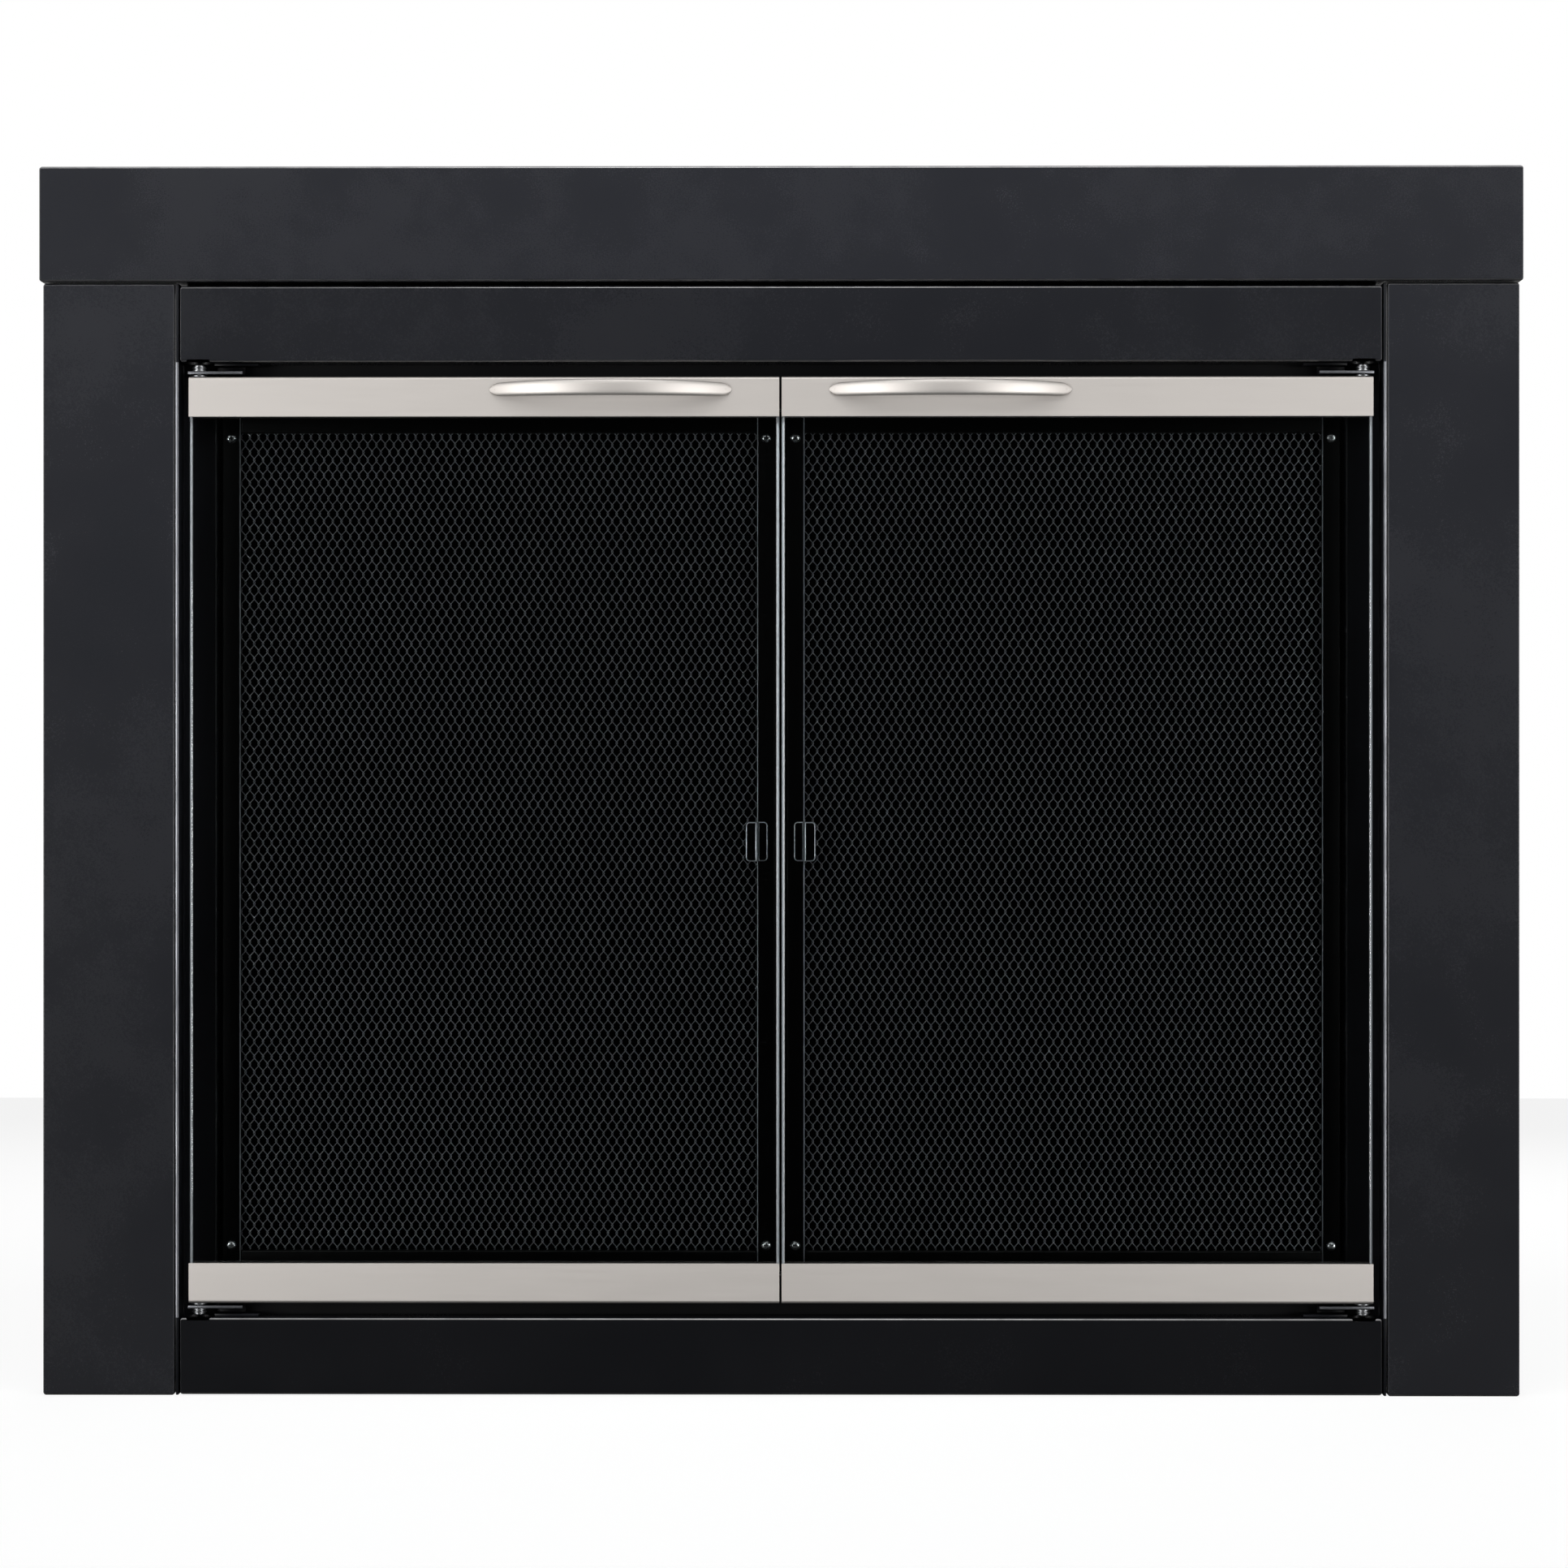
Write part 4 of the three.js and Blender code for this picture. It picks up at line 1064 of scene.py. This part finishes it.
def bow_handle():
    """A bow of even crowned section between two plan arcs, narrowed at its ends."""
    stations, facets = 72, 28
    rings = []
    for station in range(stations + 1):
        share = -1 + 2 * station / stations
        front = handle_point(*HANDLE_OUTER_ARC, share)
        back = handle_point(*HANDLE_INNER_ARC, share)
        middle, reach = (front + back) / 2, (front - back) / 2
        tip_share = HANDLE_OUTER_ARC[0] * (1 - abs(share)) / HANDLE_TIP_LENGTH
        tall = HANDLE_HALF_HEIGHT - HANDLE_TAPER * share ** 2
        if tip_share < 1:
            fall = math.sqrt(max(0.0, 1 - (1 - tip_share) ** 2))
            tall = HANDLE_TIP_HALF_HEIGHT + (tall - HANDLE_TIP_HALF_HEIGHT) * fall
        ring = []
        for step in range(facets):
            angle = 2 * math.pi * step / facets
            across = math.copysign(abs(math.cos(angle)) ** 0.5, math.cos(angle))
            up = math.copysign(abs(math.sin(angle)) ** 0.62, math.sin(angle))
            spot = middle + reach * across
            ring.append((spot.x, spot.y, HANDLE_LEVEL + tall * up))
        rings.append(ring)
    handle = smoothed(shell_of("handle", rings), 60)
    studs = [
        turned("stud", [(2.0, -2.0), (2.0, 5.4), (1.6, 5.7)], (x, HANDLE_LEVEL), "y", 16)
        for x in STUDS_X]
    return joined(handle, *[smoothed(stud) for stud in studs])


def make_doors():
    for side_name, side in SIDES.items():
        body = side_name + "_glass_door"
        for end_name, end in ENDS.items():
            for kind, made, materials in (
                    ("pivot_bracket", pivot_bracket(), (JAMB_COAT, LEAF_EDGE)),
                    ("pivot_screw", pivot_screw(), (PIVOT_ZINC,)),
                    ("pivot_washer", pivot_washer(), (PIVOT_ZINC,))):
                node = f"{side_name}_{end_name}_{kind}"
                dressed(
                    seated(made, side, end), node.replace("pivot_", "hinge_"), body_of(node),
                    *materials, replaces=[node])
            rail_node = f"{side_name}_door_{end_name}_rail"
            dressed(
                seated(door_rail(end_name == "upper"), side, end), rail_node + "_nickel", body,
                RAIL_NICKEL, replaces=[rail_node])
            block_node = f"{side_name}_door_{end_name}_pivot_block"
            dressed(
                seated(pivot_block(), side, end), block_node + "_cast", body,
                ZINC, replaces=[block_node])
            gasket_node = f"{side_name}_door_{end_name}_gasket"
            dressed(
                seated(softened(cad_copy(gasket_node), 0.2)), gasket_node + "_rubber", body,
                RUBBER, replaces=[gasket_node])
        node = side_name + "_door_glass"
        dressed(glass_pane(side), node + "_pane", body, GLASS, GLASS_EDGE, replaces=[node])
        node = side_name + "_door_handle"
        dressed(
            seated(bow_handle(), side), node + "_bow", body, HANDLE_NICKEL, replaces=[node])
        for kind, material in (("door_strike_plate", ZINC), ("magnetic_catch", CHANNEL_PAINT)):
            node = f"{side_name}_{kind}"
            dressed(
                seated(softened(cad_copy(node), 0.25)), node + "_shaped", body_of(node),
                material, replaces=[node])


# ============================================================ mesh gates


def clip_pull():
    """A bent strip: a base on the stile, a riser and a finger flange."""
    half = SHEET / 2
    start, riser, end = CLIP_X
    front, back = CLIP_Y
    low, high = CLIP_Z
    path = [
        (start, back - half), (riser + half, back - half),
        (riser + half, front + half), (end, front + half)]
    strip = prism("clip", bent_outline(path, SHEET, 0.7, 6), "z", low - 0.05, high + 0.05)
    face = prism("face", rounded(start, low, end, high, CLIP_CORNER, 6), "y", 10, 30)
    softened(cut(strip, face, operation="INTERSECT"), 0.7, 3)
    # painted highlight: the rounded rim facing the front gets the light clip edge colour
    for face in strip.data.polygons:
        face.material_index = 1 if face.normal.y < -0.2 and not is_flat(face) else 0
    return strip


def make_gates():
    for side_name, side in SIDES.items():
        body = side_name + "_mesh_gate"
        for kind in ("hinge_stile", "meeting_stile", "upper_rail", "lower_rail"):
            node = f"{side_name}_gate_{kind}"
            gate_bar = softened(cad_copy(node), 0.3)
            # painted highlight, partly wear: the arris facing the screen and the front gets the
            # light gate edge colour
            towards_screen = {"hinge_stile": -side, "meeting_stile": side}.get(kind, 0)
            for face in gate_bar.data.polygons:
                paler = face.normal.x * towards_screen > 0.3 and face.normal.y < -0.3
                face.material_index = 1 if paler else 0
            dressed(
                seated(gate_bar), node + "_bar", body, PAINT, WORN_AND_HIGHLIT_EDGE, replaces=[node])
        node = side_name + "_gate_clip"
        dressed(
            seated(clip_pull(), side), node + "_pull", body, PAINT, CLIP_EDGE, replaces=[node])
        coils = int((SCREEN_X[1] - SCREEN_X[0]) / COIL_WIDTH)
        turns = int((SCREEN_Z[1] - SCREEN_Z[0]) / COIL_RISE / 2)
        left = SCREEN_X[0] if side > 0 else -SCREEN_X[1]
        for half, low in (("lower", SCREEN_Z[0]), ("upper", SCREEN_Z[0] + turns * COIL_RISE)):
            seed = linked("screen_seed", bpy.data.meshes.new("screen_seed"))
            SCREEN_TREE.grown(
                seed, Coils=coils, Turns=turns, Coil_Width=COIL_WIDTH, Rise=COIL_RISE,
                Depth=SCREEN_DEPTH, Hook=HOOK, Wire=WIRE,
                Corner=(left + SCREEN_EDGE, SCREEN_MIDDLE, low), Material=WIRE_PAINT)
            dressed(
                seated(seed), f"{side_name}_gate_screen_{half}", body, WIRE_PAINT,
                replaces=[side_name + "_gate_net"])
        head = pan_head(3.5, 2.0, 1.9)
        spots = [
            ((side * x, GATE_BAR_FRONT, z), (0, -1, 0))
            for x in GATE_SCREWS_X for z in GATE_SCREWS_Z]
        fasteners(side_name + "_gate_screws", head, spots, body, SCREW_ZINC, 3 + side)
        bpy.data.objects.remove(head)


# ====================================================== fixings and screws


def make_fixings():
    """Clamps and brackets, and the screws that hold them and the strike plates."""
    big, small = pan_head(4.2, 2.6, 2.4), pan_head(2.1, 0.5, 1.2)
    clamp_x, clamp_y, clamp_z = CLAMP_SCREW
    bracket_x, bracket_y, bracket_levels = BRACKET_SCREWS
    strike_xs, strike_y, strike_z = STRIKE_SCREWS
    for side_name, side in SIDES.items():
        for kind, material in (
                ("lintel_clamp", ZINC), ("clamp_bolt", ZINC), ("hearth_bracket", ZINC)):
            node = f"{side_name}_{kind}"
            dressed(
                seated(softened(cad_copy(node), 0.35)), node + "_shaped", body_of(node),
                material, replaces=[node])
        fasteners(
            side_name + "_clamp_screw", big, [((side * clamp_x, clamp_y, clamp_z), (0, 0, 1))],
            body_of(side_name + "_lintel_clamp"), ZINC, 5 + side)
        fasteners(
            side_name + "_bracket_screws", big,
            [((side * bracket_x, bracket_y, level), (0, 1, 0)) for level in bracket_levels],
            body_of(side_name + "_hearth_bracket"), ZINC, 7 + side)
        fasteners(
            side_name + "_strike_screws", small,
            [((side * x, strike_y, strike_z), (0, 1, 0)) for x in strike_xs],
            side_name + "_glass_door", ZINC, 9 + side)
    for head in (big, small):
        bpy.data.objects.remove(head)


# ============================================================ the studio


def make_camera():
    """A long lens level with the middle of the door, a touch to its right."""
    distance, turn = 3.2, math.radians(0.5)
    data = bpy.data.cameras.new("camera")
    data.lens = 114.43
    data.sensor_width = 36.0
    data.clip_end = 50
    camera = linked("camera", data)
    aim = Vector((2.3 * MM, FRONT, 392.9 * MM))
    camera.location = aim + Vector((math.sin(turn), -math.cos(turn), 0)) * distance
    camera.rotation_euler = (math.pi / 2, 0, turn)
    bpy.context.scene.camera = camera


def softbox(name, place, aim, width, height, power, shiny=True, matt=True):
    data = bpy.data.lights.new(name, "AREA")
    data.shape = "RECTANGLE"
    data.size = width
    data.size_y = height
    data.energy = power
    lamp = linked(name, data)
    lamp.location = place
    lamp.rotation_euler = (Vector(aim) - Vector(place)).to_track_quat("-Z", "Y").to_euler()
    lamp.visible_glossy = shiny
    lamp.visible_diffuse = matt


def make_world():
    """White behind the door; shiny faces see a bright studio, dark at the camera and below."""
    world = bpy.data.worlds.new("studio")
    world.use_nodes = True
    bpy.context.scene.world = world
    sky = Graph(world.node_tree)
    way = sky.node("ShaderNodeTexCoord", output=0)
    split = sky.node("ShaderNodeSeparateXYZ", None, {0: way}, output=1)
    rise = Field(sky, split.socket.node.outputs[2])
    camera_end = sky.node(
        "ShaderNodeMapRange", {"interpolation_type": "SMOOTHSTEP"},
        {"Value": 0 - split, "From Min": 0.88, "From Max": 0.985})
    below = sky.node(
        "ShaderNodeMapRange", {"interpolation_type": "SMOOTHSTEP"},
        {"Value": 0 - rise, "From Min": -0.05, "From Max": 0.12})
    path = sky.node("ShaderNodeLightPath")
    rays = path.socket.node.outputs
    seen = Field(sky, rays["Is Camera Ray"]) + Field(sky, rays["Is Transmission Ray"])
    shiny = Field(sky, rays["Is Glossy Ray"])
    glossy_level = (1.0 - camera_end * 0.996) * (1.0 - below * 0.9)
    level = 0.05 + seen * 0.95
    level = level * (1 - shiny) + glossy_level * shiny
    light = sky.node(
        "ShaderNodeBackground", None, {"Color": colour(1, 1, 1), "Strength": level})
    sky.node("ShaderNodeOutputWorld", None, {"Surface": light})


def stage_plane(name, corners, material):
    bm = bmesh.new()
    bm.faces.new([bm.verts.new(corner) for corner in corners])
    made = linked(name, mesh_of(name, bm))
    made.data.materials.append(material)


def floor_finish():
    """White to the eye and dull in reflections, with the door's soft shadow kept."""
    finish = Finish("floor_white", Roughness=0.9, Specular_IOR_Level=0.1)
    path = finish.node("ShaderNodeLightPath")
    rays = path.socket.node.outputs
    seen = Field(finish, rays["Is Camera Ray"]) + Field(finish, rays["Is Transmission Ray"])
    white = finish.blend(
        finish.grain(220, 2.0), colour(0.86, 0.86, 0.86), colour(0.90, 0.90, 0.90))
    finish.vary(Base_Color=finish.blend(seen, colour(0.12, 0.12, 0.12), white))
    glow = finish.node(
        "ShaderNodeEmission", None, {"Color": colour(1, 1, 1), "Strength": 1.06})
    mixed = finish.node(
        "ShaderNodeMixShader", None, {0: seen * 0.82, 1: finish.shader, 2: glow})
    finish.show(mixed)
    return finish.material


def dark_recess():
    """Painted shade: a dark card close behind the gates, in place of the shade inside the
    fireplace, that shows from the front alone.
    """
    finish = Finish("recess_black", Roughness=1.0, Specular_IOR_Level=0.0)
    finish.vary(Base_Color=finish.blend(
        finish.grain(80, 2.0), colour(0.0003, 0.0003, 0.0004), colour(0.0006, 0.0006, 0.0008)))
    behind = finish.node("ShaderNodeNewGeometry", output=6)
    clear = finish.node("ShaderNodeBsdfTransparent")
    mixed = finish.node(
        "ShaderNodeMixShader", None, {0: behind, 1: finish.shader, 2: clear})
    finish.show(mixed)
    return finish.material


def make_studio():
    bpy.context.scene.view_settings.view_transform = "Standard"
    make_camera()
    make_world()
    softbox("overhead", (0.05, -0.8, 1.5), (0, 0, 0.55), 1.9, 0.4, 21, shiny=False)
    softbox("sheen", (0, -0.9, 1.75), (0, 0, 0.62), 0.6, 0.5, 3, matt=False)
    softbox("left_side", (-1.9, -1.3, 1.1), (0, 0, 0.45), 0.5, 0.9, 8)
    softbox("right_side", (1.9, -1.3, 0.9), (0, 0, 0.45), 0.5, 0.9, 2.5)
    softbox("behind", (0.2, 1.9, 1.3), (0, 0, 0.4), 1.6, 0.9, 24, shiny=False)
    for side in SIDES.values():
        softbox("low", (side * 2.6, -2.6, 0.25), (0, 0, 0.1), 1.2, 1.0, 67, matt=False)
    stage_plane(
        "floor", [(-3, -0.85, 0), (3, -0.85, 0), (3, 3, 0), (-3, 3, 0)], floor_finish())
    # The recess card: painted shade behind the gates.
    back = FRONT + 37.4 * MM
    low, high, half = 0.070, 0.735, 0.386
    stage_plane(
        "recess", [(-half, back, low), (half, back, low), (half, back, high), (-half, back, high)],
        dark_recess())


make_surround()
make_channels()
make_doors()
make_gates()
make_fixings()
make_studio()
